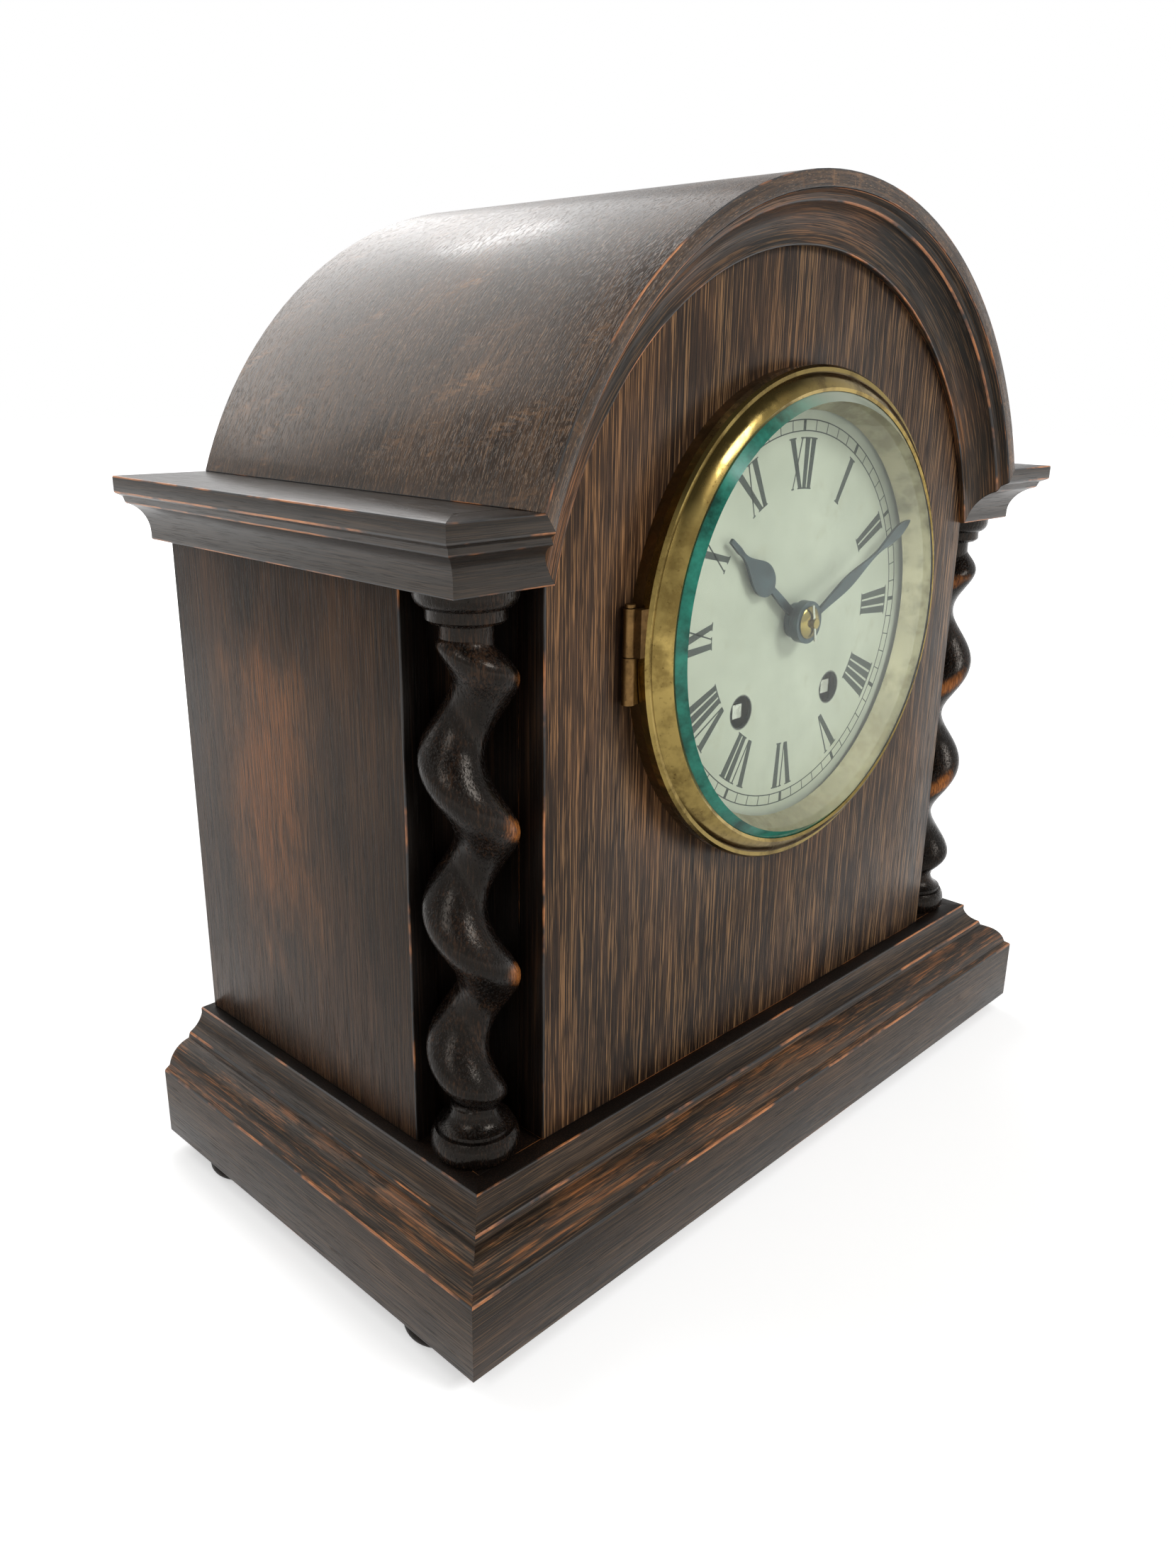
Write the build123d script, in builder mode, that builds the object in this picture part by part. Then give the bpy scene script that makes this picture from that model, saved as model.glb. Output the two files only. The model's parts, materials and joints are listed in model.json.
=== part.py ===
from build123d import *
import os
from math import atan2, cos, degrees, hypot, pi, radians, sin, sqrt

os.makedirs("parts", exist_ok=True)

# Round-top oak mantel clock with barley-twist corner columns, millimetres.
# X runs to the right, the dial faces -Y, Z is up, and the origin is on the table under the plinth's middle.
# A depth is a distance in front of the mid plane: depth d lies at y = -d, and the back has negative depths.
# Places on the movement are (right, up) from the dial centre.

# Plinth and feet
PLINTH_W = 300.0
PLINTH_D = 158.3
PLINTH_FACE_H = 23.8
PLINTH_MOULD_H = 17.9
PLINTH_MOULD_REACH = 15.3
RAIL_T = 22.0
BACK_RAIL_T = 12.0
BASE_BOARD_T = 12.0
FOOT_H = 6.0
FOOT_R = 11.0
FOOT_INSET_X = 12.0
FOOT_INSET_Y = 27.0

# Case walls
CASE_W = 261.4
CASE_H = 158.8
CASE_BACK = -76.9
SIDE_T = 9.0
SIDE_FRONT = 33.6
COLUMN_BAY = 25.7
PANEL_W = CASE_W - 2 * COLUMN_BAY
PANEL_FRONT = 58.5
PANEL_T = 10.0
POST_W = 13.0
POST_WALL = 9.0
POST_SETBACK = 1.0
BACK_T = 7.0

# Corner columns
COLUMN_BASE_R = 12.6
COLUMN_BASE_H = 17.0
COLUMN_CAP_R = 13.2
COLUMN_CAP_H = 14.0
COLUMN_NECK_R = 7.0
COLUMN_OUTSET = 2.45
COLUMN_ADVANCE = 0.85
TWIST_R = 8.6
TWIST_OFFSET = 4.4
TWIST_PITCH = 41.2
TWIST_RUNOUT = 8.0
TWIST_START = 112.0
SECTIONS_PER_TURN = 8

# Cornice, hood and arch
CORNICE_OVERHANG = 15.55
CORNICE_W = CASE_W + 2 * CORNICE_OVERHANG
CORNICE_FRONT = 71.1
CORNICE_BACK = -79.0
CORNICE_H = 19.1
CORNICE_REACH = 10.3
ARCH_LAP = 0.7
ARCH_W = 18.1
ARCH_INNER_R = PANEL_W / 2 + ARCH_LAP
HOOD_R = ARCH_INNER_R + ARCH_W
HOOD_T = 4.5
HOOD_BACK = -78.4

# Back door with its hinges and turn button
DOOR_W = 150.0
DOOR_RISE = 14.0
DOOR_STRAIGHT_H = 120.0
DOOR_GAP = 0.5
LEAF_W = 13.0
LEAF_H = 24.0
LEAF_T = 0.8
KNUCKLE_R = 1.4
KNUCKLE_GAP = 0.3
KNUCKLE_STANDOFF = 0.1
BACK_PIN_R = 0.7
BUTTON_L = 22.0
BUTTON_W = 7.0
BUTTON_T = 1.4
BUTTON_SCREW_R = 1.6
BUTTON_SCREW_DEPTH = 5.0

# Dial, bezel and glass
DIAL_RISE = 137.0
DIAL_R = 70.0
DIAL_T = 1.0
DIAL_HOLE_R = 70.5
DIAL_CENTRE_HOLE_R = 4.2
WINDING_HOLE_R = 5.0
BASE_RING_R = 74.0
BASE_RING_BORE_R = 68.5
BASE_RING_T = 3.8
BEZEL_R = 74.5
BEZEL_BACK = 62.6
BEZEL_RIM_T = 2.4
GLASS_R = 68.2
GLASS_BACK = 68.2
GLASS_FRONT = 71.4
GLASS_EDGE_T = 0.9
GLASS_FLAT_R = 64.5
GLASS_LIP_R = 67.3
GLASS_LIP_T = 0.6
SIGHT_REAR = 60.2
SIGHT_REAR_R = 62.0
SIGHT_T = 0.8
BEZEL_HINGE_X = -76.3
BEZEL_HINGE_DEPTH = 61.0
BEZEL_KNUCKLE_R = 1.9
BEZEL_KNUCKLE_L = 13.0
BEZEL_PIN_R = 0.8
BEZEL_PIN_HEAD_R = 1.5
BEZEL_PIN_HEAD_H = 0.8

# Hands
HOUR_HAND_DEPTH = 60.2
HOUR_HAND_L = 44.5
MINUTE_HAND_DEPTH = 64.0
MINUTE_HAND_L = 61.0
HAND_T = 0.9
HOUR_PIPE_R = 3.4
HOUR_COLLET_R = 5.4
HOUR_COLLET_REAR = 59.3
HOUR_STEM_W = 2.5
HOUR_PEAR_W = 9.6
HOUR_TIP_W = 1.4
CANNON_PIPE_R = 2.4
MINUTE_COLLET_R = 6.5
MINUTE_COLLET_REAR = 62.0
MINUTE_SWELL_W = 4.1
HOUR_ANGLE = -52.5
MINUTE_ANGLE = 64.0
WASHER_R = 5.0
WASHER_T = 1.0
HAND_PIN_R = 0.45
HAND_PIN_L = 11.5
HAND_PIN_LEAN = 12.0

# Movement plates
PLATE_HALF_W = 50.0
PLATE_TOP = 51.0
PLATE_BOTTOM = -51.0
PLATE_T = 2.0
FRONT_PLATE_REAR = 40.0
BACK_PLATE_FRONT = 6.0
PILLAR_R = 3.0
PILLAR_INSET = 4.5
BRACKET_W = 10.0
BRACKET_T = 2.0
BRACKET_FOOT_R = 4.0
BRACKET_START_R = 60.0
BRACKET_FOOT_AT_R = 80.0

# Barrels, springs and winding arbors
WINDING_X = 23.5
WINDING_DROP = 25.3
BARREL_R = 20.0
BARREL_WALL = 1.2
BARREL_REAR = 8.0
BARREL_TEETH_REAR = 30.5
BARREL_TEETH_T = 2.0
BARREL_TEETH = 72
BARREL_MODULE = 0.6
ARBOR_R = 3.0
ARBOR_CORE_R = 4.2
WINDING_SQUARE = 4.4
WINDING_END = 57.0
SPRING_T = 0.9
SPRING_PITCH = 2.2
SPRING_HALF_TURNS = 11
SPRING_GAP = 0.35
RATCHET_R = 9.5
RATCHET_TOOTH = 1.3
RATCHET_TEETH = 24
RATCHET_T = 2.0
CLICK_REACH = 9.0
CLICK_W = 3.0
CLICK_STUD_R = 1.2

# Toothed wheels and arbors of the two trains and the motion work
PINION_LEAVES = 8
SECOND_TEETH = 48
SECOND_MODULE = 0.62
CENTRE_TEETH = 80
CENTRE_MODULE = 0.38
THIRD_TEETH = 80
THIRD_MODULE = 0.33
ESCAPE_TEETH = 48
ESCAPE_R = 11.5
ESCAPE_TOOTH = 1.4
PIN_TEETH = 64
PIN_MODULE = 0.38
WARNING_TEETH = 64
WARNING_MODULE = 0.30
CANNON_TEETH = 16
MINUTE_TEETH = 48
MINUTE_PINION_TEETH = 12
HOUR_TEETH = 48
CANNON_MODULE = 0.375
HOUR_MODULE = 0.4
ADDENDUM_SHARE = 0.62
DEDENDUM_SHARE = 1.55
TOOTH_TIP_SHARE = 0.16
WHEEL_T = 1.4
PINION_OVERLAP = 0.8
RIM_T = 2.2
HUB_R = 2.6
SPOKE_W = 1.8
TRAIN_ARBOR_R = 1.1
FINE_ARBOR_R = 0.72
FLY_ARBOR_R = 0.6
PIVOT_R = 0.6
CENTRE_ARBOR_R = 1.5
THIRD_ANGLE = 62.0
STRIKE_SECOND_ANGLE = 106.0
PIN_WHEEL_ANGLE = 72.0
WARNING_ANGLE = 80.0
FLY_ANGLE = 125.0

# Depth layers of the wheels
SECOND_LAYER = 36.5
CENTRE_LAYER = 33.9
THIRD_LAYER = 26.0
ESCAPE_LAYER = 12.0
PIN_LAYER = 22.0
WARNING_LAYER = 27.2
MOTION_LAYER = 43.4
HOUR_LAYER = 46.6

# Striking work
STRIKE_PINS = 15
STRIKE_PIN_R = 0.5
STRIKE_PIN_L = 4.0
STRIKE_PIN_CIRCLE = 9.5
COUNT_WHEEL_R = 16.0
COUNT_WHEEL_T = 1.4
COUNT_NOTCH = 2.4
COUNT_LAYER = 1.4
FLY_HALF_W = 8.5
FLY_REAR = 10.0
FLY_L = 12.0
FLY_T = 0.9
HAMMER_AT = (-43.0, 24.0)
HAMMER_ARBOR_R = 1.4
HAMMER_TAIL_L = 10.0
HAMMER_TAIL_W = 2.4
HAMMER_ROD_R = 1.0
HAMMER_HEAD_R = 5.0
HAMMER_HEAD_L = 13.0
HAMMER_GAP = 1.5
GONG_DEPTH = -34.0
GONG_Z = 110.0
GONG_WIRE_R = 1.5
GONG_INNER_R = 14.0
GONG_PITCH = 8.0
GONG_HALF_TURNS = 8
SAMPLES_PER_HALF_TURN = 24
GONG_POST_W = 12.0
GONG_POST_D = 9.0
GONG_FOOT_W = 46.0
GONG_FOOT_D = 30.0
GONG_FOOT_H = 7.0
GONG_STAND_DEPTH = -43.0
GONG_BOSS_W = 6.0
GONG_BOSS_H = 7.0

# Escapement and pendulum
ANCHOR_RISE = 15.0
ANCHOR_T = 3.0
ANCHOR_CLEAR = 1.1
ANCHOR_HALF_W = 11.0
ANCHOR_ARBOR_R = 1.2
BACK_PLATE_ANCHOR_HOLE_R = 4.0
COCK_W = 16.0
COCK_DROP = 6.0
COCK_H = 18.0
COCK_FRONT = -5.0
COCK_T = 3.0
COCK_POST_R = 2.4
COCK_STUD_R = 1.2
COCK_STUD_L = 6.0
CRUTCH_DEPTH = -3.6
CRUTCH_T = 1.2
CRUTCH_W = 3.0
CRUTCH_L = 34.0
CRUTCH_PIN_R = 0.8
PENDULUM_L = 140.0
PENDULUM_ROD_W = 3.0
PENDULUM_ROD_T = 2.0
PENDULUM_DEPTH = -12.2
PENDULUM_TAIL = 24.0
PENDULUM_EYE_R = 3.2
BOB_R = 17.0
BOB_T = 11.0
BOB_EDGE_T = 1.6
RATING_NUT_R = 4.0
RATING_NUT_H = 3.0

# Fits
RUN_CLEAR = 0.05
GLUE_GAP = 0.05
SIDE_CLEAR = 0.3
OVERRUN = 20.0

# Levels worked out from the sizes above
DECK_Z = FOOT_H + PLINTH_FACE_H + PLINTH_MOULD_H
CORNICE_Z = DECK_Z + CASE_H
CORNICE_TOP = CORNICE_Z + CORNICE_H
DIAL_Z = DECK_Z + DIAL_RISE
RETURN_T = CORNICE_FRONT - PANEL_FRONT
FRONT_PLATE_FRONT = FRONT_PLATE_REAR + PLATE_T
BACK_PLATE_REAR = BACK_PLATE_FRONT - PLATE_T
COLUMN_X = (CASE_W + PANEL_W) / 4 + COLUMN_OUTSET
COLUMN_DEPTH = (PANEL_FRONT + SIDE_FRONT) / 2 + COLUMN_ADVANCE


def finish(piece, name):
    """Label a finished piece and write it to its own file."""
    piece.part.label = name
    export_step(piece.part, f"parts/{name}.step")


def front_plane(depth, height=0.0):
    """Upright plane that faces the front, with its origin on the centre line."""
    return Plane(origin=(0, -depth, height), x_dir=(1, 0, 0), z_dir=(0, -1, 0))


def dial_plane(depth):
    """Upright plane that faces the front, with its origin on the hands' axis."""
    return front_plane(depth, DIAL_Z)


def turned_plane(depth, angle, at=(0, 0)):
    """Plane that faces the front at a place on the movement, turned anticlockwise by an angle in degrees."""
    x_dir = (cos(radians(angle)), 0, sin(radians(angle)))
    return Plane(origin=(at[0], -depth, DIAL_Z + at[1]), x_dir=x_dir, z_dir=(0, -1, 0))


def turning_plane(at=(0, 0)):
    """Plane for a profile of (radius, depth) that is turned about an arbor."""
    return Plane(origin=(at[0], 0, DIAL_Z + at[1]), x_dir=(1, 0, 0), z_dir=(0, 0, -1))


def arbor_axis(at=(0, 0)):
    return Axis((at[0], 0, DIAL_Z + at[1]), (0, -1, 0))


def step_from(at, distance, angle):
    """Place at a distance from another, in a direction in degrees from the right."""
    return (at[0] + distance * cos(radians(angle)), at[1] + distance * sin(radians(angle)))


def pitch_radius(teeth, module):
    return teeth * module / 2


def mesh_distance(teeth, module, leaves=PINION_LEAVES):
    return pitch_radius(teeth, module) + pitch_radius(leaves, module)


def tip_radius(teeth, module):
    return pitch_radius(teeth, module) + ADDENDUM_SHARE * module


def mesh_phase(driver_phase, driver_at, driver_teeth, at, teeth):
    """Turn of a wheel that puts its tooth spaces where the teeth of the other wheel come."""
    line = atan2(at[1] - driver_at[1], at[0] - driver_at[0])
    lead = (driver_phase - line) % (2 * pi / driver_teeth)
    return line + pi - lead * driver_teeth / teeth + pi / teeth


# Places of the arbors
GOING_BARREL_AT = (WINDING_X, -WINDING_DROP)
STRIKE_BARREL_AT = (-WINDING_X, -WINDING_DROP)
CENTRE_AT = (0.0, 0.0)
BARREL_MESH = mesh_distance(BARREL_TEETH, BARREL_MODULE)
SECOND_MESH = mesh_distance(SECOND_TEETH, SECOND_MODULE)
CENTRE_TO_BARREL = hypot(WINDING_X, WINDING_DROP)
ALONG = (BARREL_MESH**2 - SECOND_MESH**2 + CENTRE_TO_BARREL**2) / (2 * CENTRE_TO_BARREL)
ACROSS = sqrt(BARREL_MESH**2 - ALONG**2)
TOWARDS_CENTRE = (-WINDING_X / CENTRE_TO_BARREL, WINDING_DROP / CENTRE_TO_BARREL)
SECOND_AT = (
    WINDING_X + ALONG * TOWARDS_CENTRE[0] + ACROSS * TOWARDS_CENTRE[1],
    -WINDING_DROP + ALONG * TOWARDS_CENTRE[1] - ACROSS * TOWARDS_CENTRE[0],
)
THIRD_AT = step_from(CENTRE_AT, mesh_distance(CENTRE_TEETH, CENTRE_MODULE), THIRD_ANGLE)
ESCAPE_AT = (0.0, THIRD_AT[1] + sqrt(mesh_distance(THIRD_TEETH, THIRD_MODULE) ** 2 - THIRD_AT[0] ** 2))
ANCHOR_AT = (0.0, ESCAPE_AT[1] + ANCHOR_RISE)
STRIKE_SECOND_AT = step_from(STRIKE_BARREL_AT, BARREL_MESH, STRIKE_SECOND_ANGLE)
PIN_WHEEL_AT = step_from(STRIKE_SECOND_AT, SECOND_MESH, PIN_WHEEL_ANGLE)
WARNING_AT = step_from(PIN_WHEEL_AT, mesh_distance(PIN_TEETH, PIN_MODULE), WARNING_ANGLE)
FLY_AT = step_from(WARNING_AT, mesh_distance(WARNING_TEETH, WARNING_MODULE), FLY_ANGLE)
MINUTE_AT = (0.0, -mesh_distance(MINUTE_TEETH, CANNON_MODULE, CANNON_TEETH))

# Turns of the wheels that let their teeth mesh
GOING_BARREL_PHASE = 0.0
SECOND_PINION_PHASE = mesh_phase(GOING_BARREL_PHASE, GOING_BARREL_AT, BARREL_TEETH, SECOND_AT, PINION_LEAVES)
SECOND_PHASE = 0.0
CENTRE_PINION_PHASE = mesh_phase(SECOND_PHASE, SECOND_AT, SECOND_TEETH, CENTRE_AT, PINION_LEAVES)
CENTRE_PHASE = 0.0
THIRD_PINION_PHASE = mesh_phase(CENTRE_PHASE, CENTRE_AT, CENTRE_TEETH, THIRD_AT, PINION_LEAVES)
THIRD_PHASE = 0.0
ESCAPE_PINION_PHASE = mesh_phase(THIRD_PHASE, THIRD_AT, THIRD_TEETH, ESCAPE_AT, PINION_LEAVES)
STRIKE_PINION_PHASE = mesh_phase(0.0, STRIKE_BARREL_AT, BARREL_TEETH, STRIKE_SECOND_AT, PINION_LEAVES)
PIN_PINION_PHASE = mesh_phase(0.0, STRIKE_SECOND_AT, SECOND_TEETH, PIN_WHEEL_AT, PINION_LEAVES)
WARNING_PINION_PHASE = mesh_phase(0.0, PIN_WHEEL_AT, PIN_TEETH, WARNING_AT, PINION_LEAVES)
FLY_PINION_PHASE = mesh_phase(0.0, WARNING_AT, WARNING_TEETH, FLY_AT, PINION_LEAVES)
MINUTE_PHASE = mesh_phase(0.0, CENTRE_AT, CANNON_TEETH, MINUTE_AT, MINUTE_TEETH)
HOUR_PHASE = mesh_phase(0.0, MINUTE_AT, MINUTE_PINION_TEETH, CENTRE_AT, HOUR_TEETH)


# Shapes used by several pieces, each drawn into the piece that is being made

def bar(at, radius, rear, front, mode=Mode.ADD):
    """Round bar or hole along the depth direction at a place on the movement."""
    with BuildSketch(dial_plane(rear)) as shape:
        with Locations(at):
            Circle(radius)
    extrude(shape.sketch, amount=front - rear, mode=mode)


def toothed_disc(at, teeth, module, phase, rear, thickness):
    """Disc with straight-sided clock teeth: a flat tip and a sharp root."""
    pitch = 2 * pi / teeth
    tip = tip_radius(teeth, module)
    root = pitch_radius(teeth, module) - DEDENDUM_SHARE * module
    half_tip = TOOTH_TIP_SHARE * pitch / 2
    points = []
    for tooth in range(teeth):
        middle = phase + tooth * pitch
        for radius, angle in ((root, middle - pitch / 2), (tip, middle - half_tip), (tip, middle + half_tip)):
            points.append((at[0] + radius * cos(angle), at[1] + radius * sin(angle)))
    with BuildSketch(dial_plane(rear)) as shape:
        with BuildLine():
            Polyline(*points, close=True)
        make_face()
    extrude(shape.sketch, amount=thickness)


def saw_disc(at, teeth, tip, depth, lean, rear, thickness):
    """Disc with pointed teeth that lean one way, as on a ratchet or an escape wheel."""
    pitch = 2 * pi / teeth
    points = []
    for tooth in range(teeth):
        for radius, angle in ((tip - depth, tooth * pitch), (tip, (tooth + lean) * pitch)):
            points.append((at[0] + radius * cos(angle), at[1] + radius * sin(angle)))
    with BuildSketch(dial_plane(rear)) as shape:
        with BuildLine():
            Polyline(*points, close=True)
        make_face()
    extrude(shape.sketch, amount=thickness)


def cross_out(at, rim_bore, rear, thickness):
    """Cut four windows in a wheel, leaving the rim, four arms and the hub."""
    with BuildSketch(dial_plane(rear)) as shape:
        with Locations(at):
            Circle(rim_bore)
            Circle(HUB_R, mode=Mode.SUBTRACT)
            Rectangle(2 * rim_bore, SPOKE_W, mode=Mode.SUBTRACT)
            Rectangle(SPOKE_W, 2 * rim_bore, mode=Mode.SUBTRACT)
    extrude(shape.sketch, amount=thickness, mode=Mode.SUBTRACT)


def wheel(at, teeth, module, phase, layer):
    """Crossed-out brass wheel."""
    toothed_disc(at, teeth, module, phase, layer, WHEEL_T)
    root = pitch_radius(teeth, module) - DEDENDUM_SHARE * module
    cross_out(at, root - RIM_T, layer, WHEEL_T)


def pinion(at, module, phase, wheel_layer, wheel_t=WHEEL_T):
    """Steel pinion that overlaps the layer of the wheel it meshes with on both sides."""
    toothed_disc(at, PINION_LEAVES, module, phase, wheel_layer - PINION_OVERLAP, wheel_t + 2 * PINION_OVERLAP)


def arbor(at, radius):
    """Arbor between the plates with a thin pivot in each plate."""
    bar(at, radius, BACK_PLATE_FRONT + SIDE_CLEAR, FRONT_PLATE_REAR - SIDE_CLEAR)
    bar(at, PIVOT_R, BACK_PLATE_REAR, FRONT_PLATE_FRONT)


def half_turn_spiral(plane, inner_r, pitch, half_turns):
    """Flat spiral of half circles about two centres; each turn is one pitch wider than the last."""
    with BuildLine(plane) as spiral:
        for half in range(half_turns):
            centre = (pitch / 2 * (half % 2), 0)
            CenterArc(centre, inner_r + half * pitch / 2, 180 * (half % 2), 180)
    return spiral.line


def least_gap(path, half_turns):
    """Least distance between points of a spiral that are half a turn or more apart."""
    count = half_turns * SAMPLES_PER_HALF_TURN
    points = [path @ (step / count) for step in range(count + 1)]
    return min(
        (points[later] - points[first]).length
        for first in range(count)
        for later in range(first + SAMPLES_PER_HALF_TURN, count + 1)
    )


def arched_board(rear, thickness, lower_half_w):
    """Board between the case walls, narrower between the cornice runs, with a round top under the hood."""
    with BuildSketch(front_plane(rear)) as shape:
        with Locations((0, DIAL_Z)):
            Circle(HOOD_R - HOOD_T - GLUE_GAP)
        with Locations((0, CORNICE_TOP)):
            Rectangle(CASE_W, CASE_W, align=(Align.CENTER, Align.MAX), mode=Mode.SUBTRACT)
        with Locations((0, CORNICE_Z)):
            Rectangle(PANEL_W, CORNICE_H, align=(Align.CENTER, Align.MIN))
        with Locations((0, DECK_Z)):
            Rectangle(2 * lower_half_w, CASE_H, align=(Align.CENTER, Align.MIN))
    extrude(shape.sketch, amount=thickness)


# Plinth: a mitred frame of moulded rails on four bun feet

PLINTH_QUIRK_SHARES = (0.125, 0.067)
PLINTH_OVOLO_MID_SHARES = (0.27, 0.31)
PLINTH_OVOLO_END_SHARES = (0.634, 0.475)
PLINTH_COVE_START_SHARES = (0.667, 0.58)
PLINTH_COVE_MID_SHARES = (0.882, 0.71)
PLINTH_COVE_END_SHARES = (1.0, 0.894)


def plinth_section():
    """Section of a plinth rail: inward from its face, and up from its underside."""

    def at(shares):
        return (shares[0] * PLINTH_MOULD_REACH, PLINTH_FACE_H + shares[1] * PLINTH_MOULD_H)

    top = PLINTH_FACE_H + PLINTH_MOULD_H
    with BuildLine() as outline:
        Polyline((0, 0), (0, PLINTH_FACE_H), at(PLINTH_QUIRK_SHARES))
        ThreePointArc(at(PLINTH_QUIRK_SHARES), at(PLINTH_OVOLO_MID_SHARES), at(PLINTH_OVOLO_END_SHARES))
        Line(at(PLINTH_OVOLO_END_SHARES), at(PLINTH_COVE_START_SHARES))
        ThreePointArc(at(PLINTH_COVE_START_SHARES), at(PLINTH_COVE_MID_SHARES), at(PLINTH_COVE_END_SHARES))
        Polyline(at(PLINTH_COVE_END_SHARES), (PLINTH_MOULD_REACH, top), (RAIL_T, top), (RAIL_T, 0), (0, 0))
    make_face(outline.edges())


PLINTH_CORNER = (PLINTH_W / 2, -PLINTH_D / 2)

with BuildPart() as plinth_front_rail:
    with BuildSketch(Plane(origin=(-PLINTH_W / 2, -PLINTH_D / 2, FOOT_H), x_dir=(0, 1, 0), z_dir=(1, 0, 0))):
        plinth_section()
    extrude(amount=PLINTH_W)
    with BuildSketch(Plane.XY):
        with BuildLine():
            Polyline(
                PLINTH_CORNER,
                (PLINTH_CORNER[0], PLINTH_CORNER[1] + RAIL_T),
                (PLINTH_CORNER[0] - RAIL_T, PLINTH_CORNER[1] + RAIL_T),
                close=True,
            )
        make_face()
        mirror(about=Plane.YZ)
    extrude(amount=DECK_Z + OVERRUN, mode=Mode.SUBTRACT)
finish(plinth_front_rail, "plinth_front_rail")

with BuildPart() as plinth_side_rails:
    with BuildSketch(Plane(origin=(PLINTH_W / 2, -PLINTH_D / 2, FOOT_H), x_dir=(-1, 0, 0), z_dir=(0, 1, 0))):
        plinth_section()
    extrude(amount=PLINTH_D)
    with BuildSketch(Plane.XY):
        with BuildLine():
            Polyline(
                PLINTH_CORNER,
                (PLINTH_CORNER[0] - RAIL_T, PLINTH_CORNER[1]),
                (PLINTH_CORNER[0] - RAIL_T, PLINTH_CORNER[1] + RAIL_T),
                close=True,
            )
        make_face()
    extrude(amount=DECK_Z + OVERRUN, mode=Mode.SUBTRACT)
    mirror(about=Plane.YZ)
finish(plinth_side_rails, "plinth_side_rails")

INNER_W = PLINTH_W - 2 * RAIL_T

with BuildPart() as plinth_back_rail:
    with BuildSketch(Plane.XY.offset(FOOT_H)):
        with Locations((0, PLINTH_D / 2)):
            Rectangle(INNER_W, BACK_RAIL_T, align=(Align.CENTER, Align.MAX))
    extrude(amount=DECK_Z - FOOT_H)
finish(plinth_back_rail, "plinth_back_rail")

with BuildPart() as base_board:
    with BuildSketch(Plane.XY.offset(DECK_Z - BASE_BOARD_T)):
        with Locations((0, PLINTH_D / 2 - BACK_RAIL_T)):
            Rectangle(INNER_W, PLINTH_D - RAIL_T - BACK_RAIL_T, align=(Align.CENTER, Align.MAX))
    extrude(amount=BASE_BOARD_T)
finish(base_board, "base_board")

FOOT_SOLE_SHARE = 0.78
FOOT_TOP_SHARE = 0.84
FOOT_BULGE_HEIGHT_SHARE = 0.5
FOOT_X = PLINTH_W / 2 - FOOT_INSET_X
FOOT_Y = PLINTH_D / 2 - FOOT_INSET_Y

with BuildPart() as bun_feet:
    for foot_x in (-FOOT_X, FOOT_X):
        for foot_y in (-FOOT_Y, FOOT_Y):
            with BuildSketch(Plane(origin=(foot_x, foot_y, 0), x_dir=(1, 0, 0), z_dir=(0, -1, 0))):
                with BuildLine():
                    Line((0, 0), (FOOT_SOLE_SHARE * FOOT_R, 0))
                    ThreePointArc(
                        (FOOT_SOLE_SHARE * FOOT_R, 0),
                        (FOOT_R, FOOT_BULGE_HEIGHT_SHARE * FOOT_H),
                        (FOOT_TOP_SHARE * FOOT_R, FOOT_H),
                    )
                    Polyline((FOOT_TOP_SHARE * FOOT_R, FOOT_H), (0, FOOT_H), (0, 0))
                make_face()
            revolve(axis=Axis((foot_x, foot_y, 0), (0, 0, 1)))
finish(bun_feet, "bun_feet")

# Case walls

with BuildPart() as side_panel_left:
    with BuildSketch(Plane.XY.offset(DECK_Z)):
        with Locations((-CASE_W / 2, -SIDE_FRONT)):
            Rectangle(SIDE_T, SIDE_FRONT - CASE_BACK, align=(Align.MIN, Align.MIN))
    extrude(amount=CASE_H)
finish(side_panel_left, "side_panel_left")

with BuildPart() as side_panel_right:
    with BuildSketch(Plane.XY.offset(DECK_Z)):
        with Locations((CASE_W / 2, -SIDE_FRONT)):
            Rectangle(SIDE_T, SIDE_FRONT - CASE_BACK, align=(Align.MAX, Align.MIN))
    extrude(amount=CASE_H)
finish(side_panel_right, "side_panel_right")

PANEL_REAR = PANEL_FRONT - PANEL_T
SIDE_INNER_X = CASE_W / 2 - SIDE_T
POST_FRONT = SIDE_FRONT - POST_SETBACK

with BuildPart() as corner_posts:
    with BuildSketch(Plane.XY.offset(DECK_Z)):
        with BuildLine():
            Polyline(
                (PANEL_W / 2, -PANEL_REAR),
                (PANEL_W / 2, -POST_FRONT),
                (SIDE_INNER_X, -POST_FRONT),
                (SIDE_INNER_X, -POST_FRONT + POST_WALL),
                (PANEL_W / 2 - POST_W, -POST_FRONT + POST_WALL),
                (PANEL_W / 2 - POST_W, -PANEL_REAR),
                close=True,
            )
        make_face()
        mirror(about=Plane.YZ)
    extrude(amount=CASE_H)
finish(corner_posts, "corner_posts")

with BuildPart() as front_panel:
    arched_board(PANEL_REAR, PANEL_T, PANEL_W / 2)
    bar((0, 0), DIAL_HOLE_R, PANEL_REAR, PANEL_FRONT, mode=Mode.SUBTRACT)
finish(front_panel, "front_panel")

# Corner columns: a turned base and cap with a single-start twist between them

TORUS_TOP_SHARE = 0.46
FILLET_TOP_SHARE = 0.55
TORUS_FOOT_SHARE = 0.9
FILLET_R_SHARE = 0.84
CAVETTO_MID_SHARES = (0.60, 0.70)
CAP_NECK_SHARE = 0.35
CAP_FLARE_SHARES = (0.71, 0.40)
CAP_RING_SHARES = (0.78, 0.46)
CAP_RING_TOP_SHARE = 0.65
CAP_OVOLO_MID_SHARES = (0.94, 0.74)
CAP_OVOLO_END_SHARE = 0.88
TWIST_EMBED_SHARE = 0.12


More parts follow.
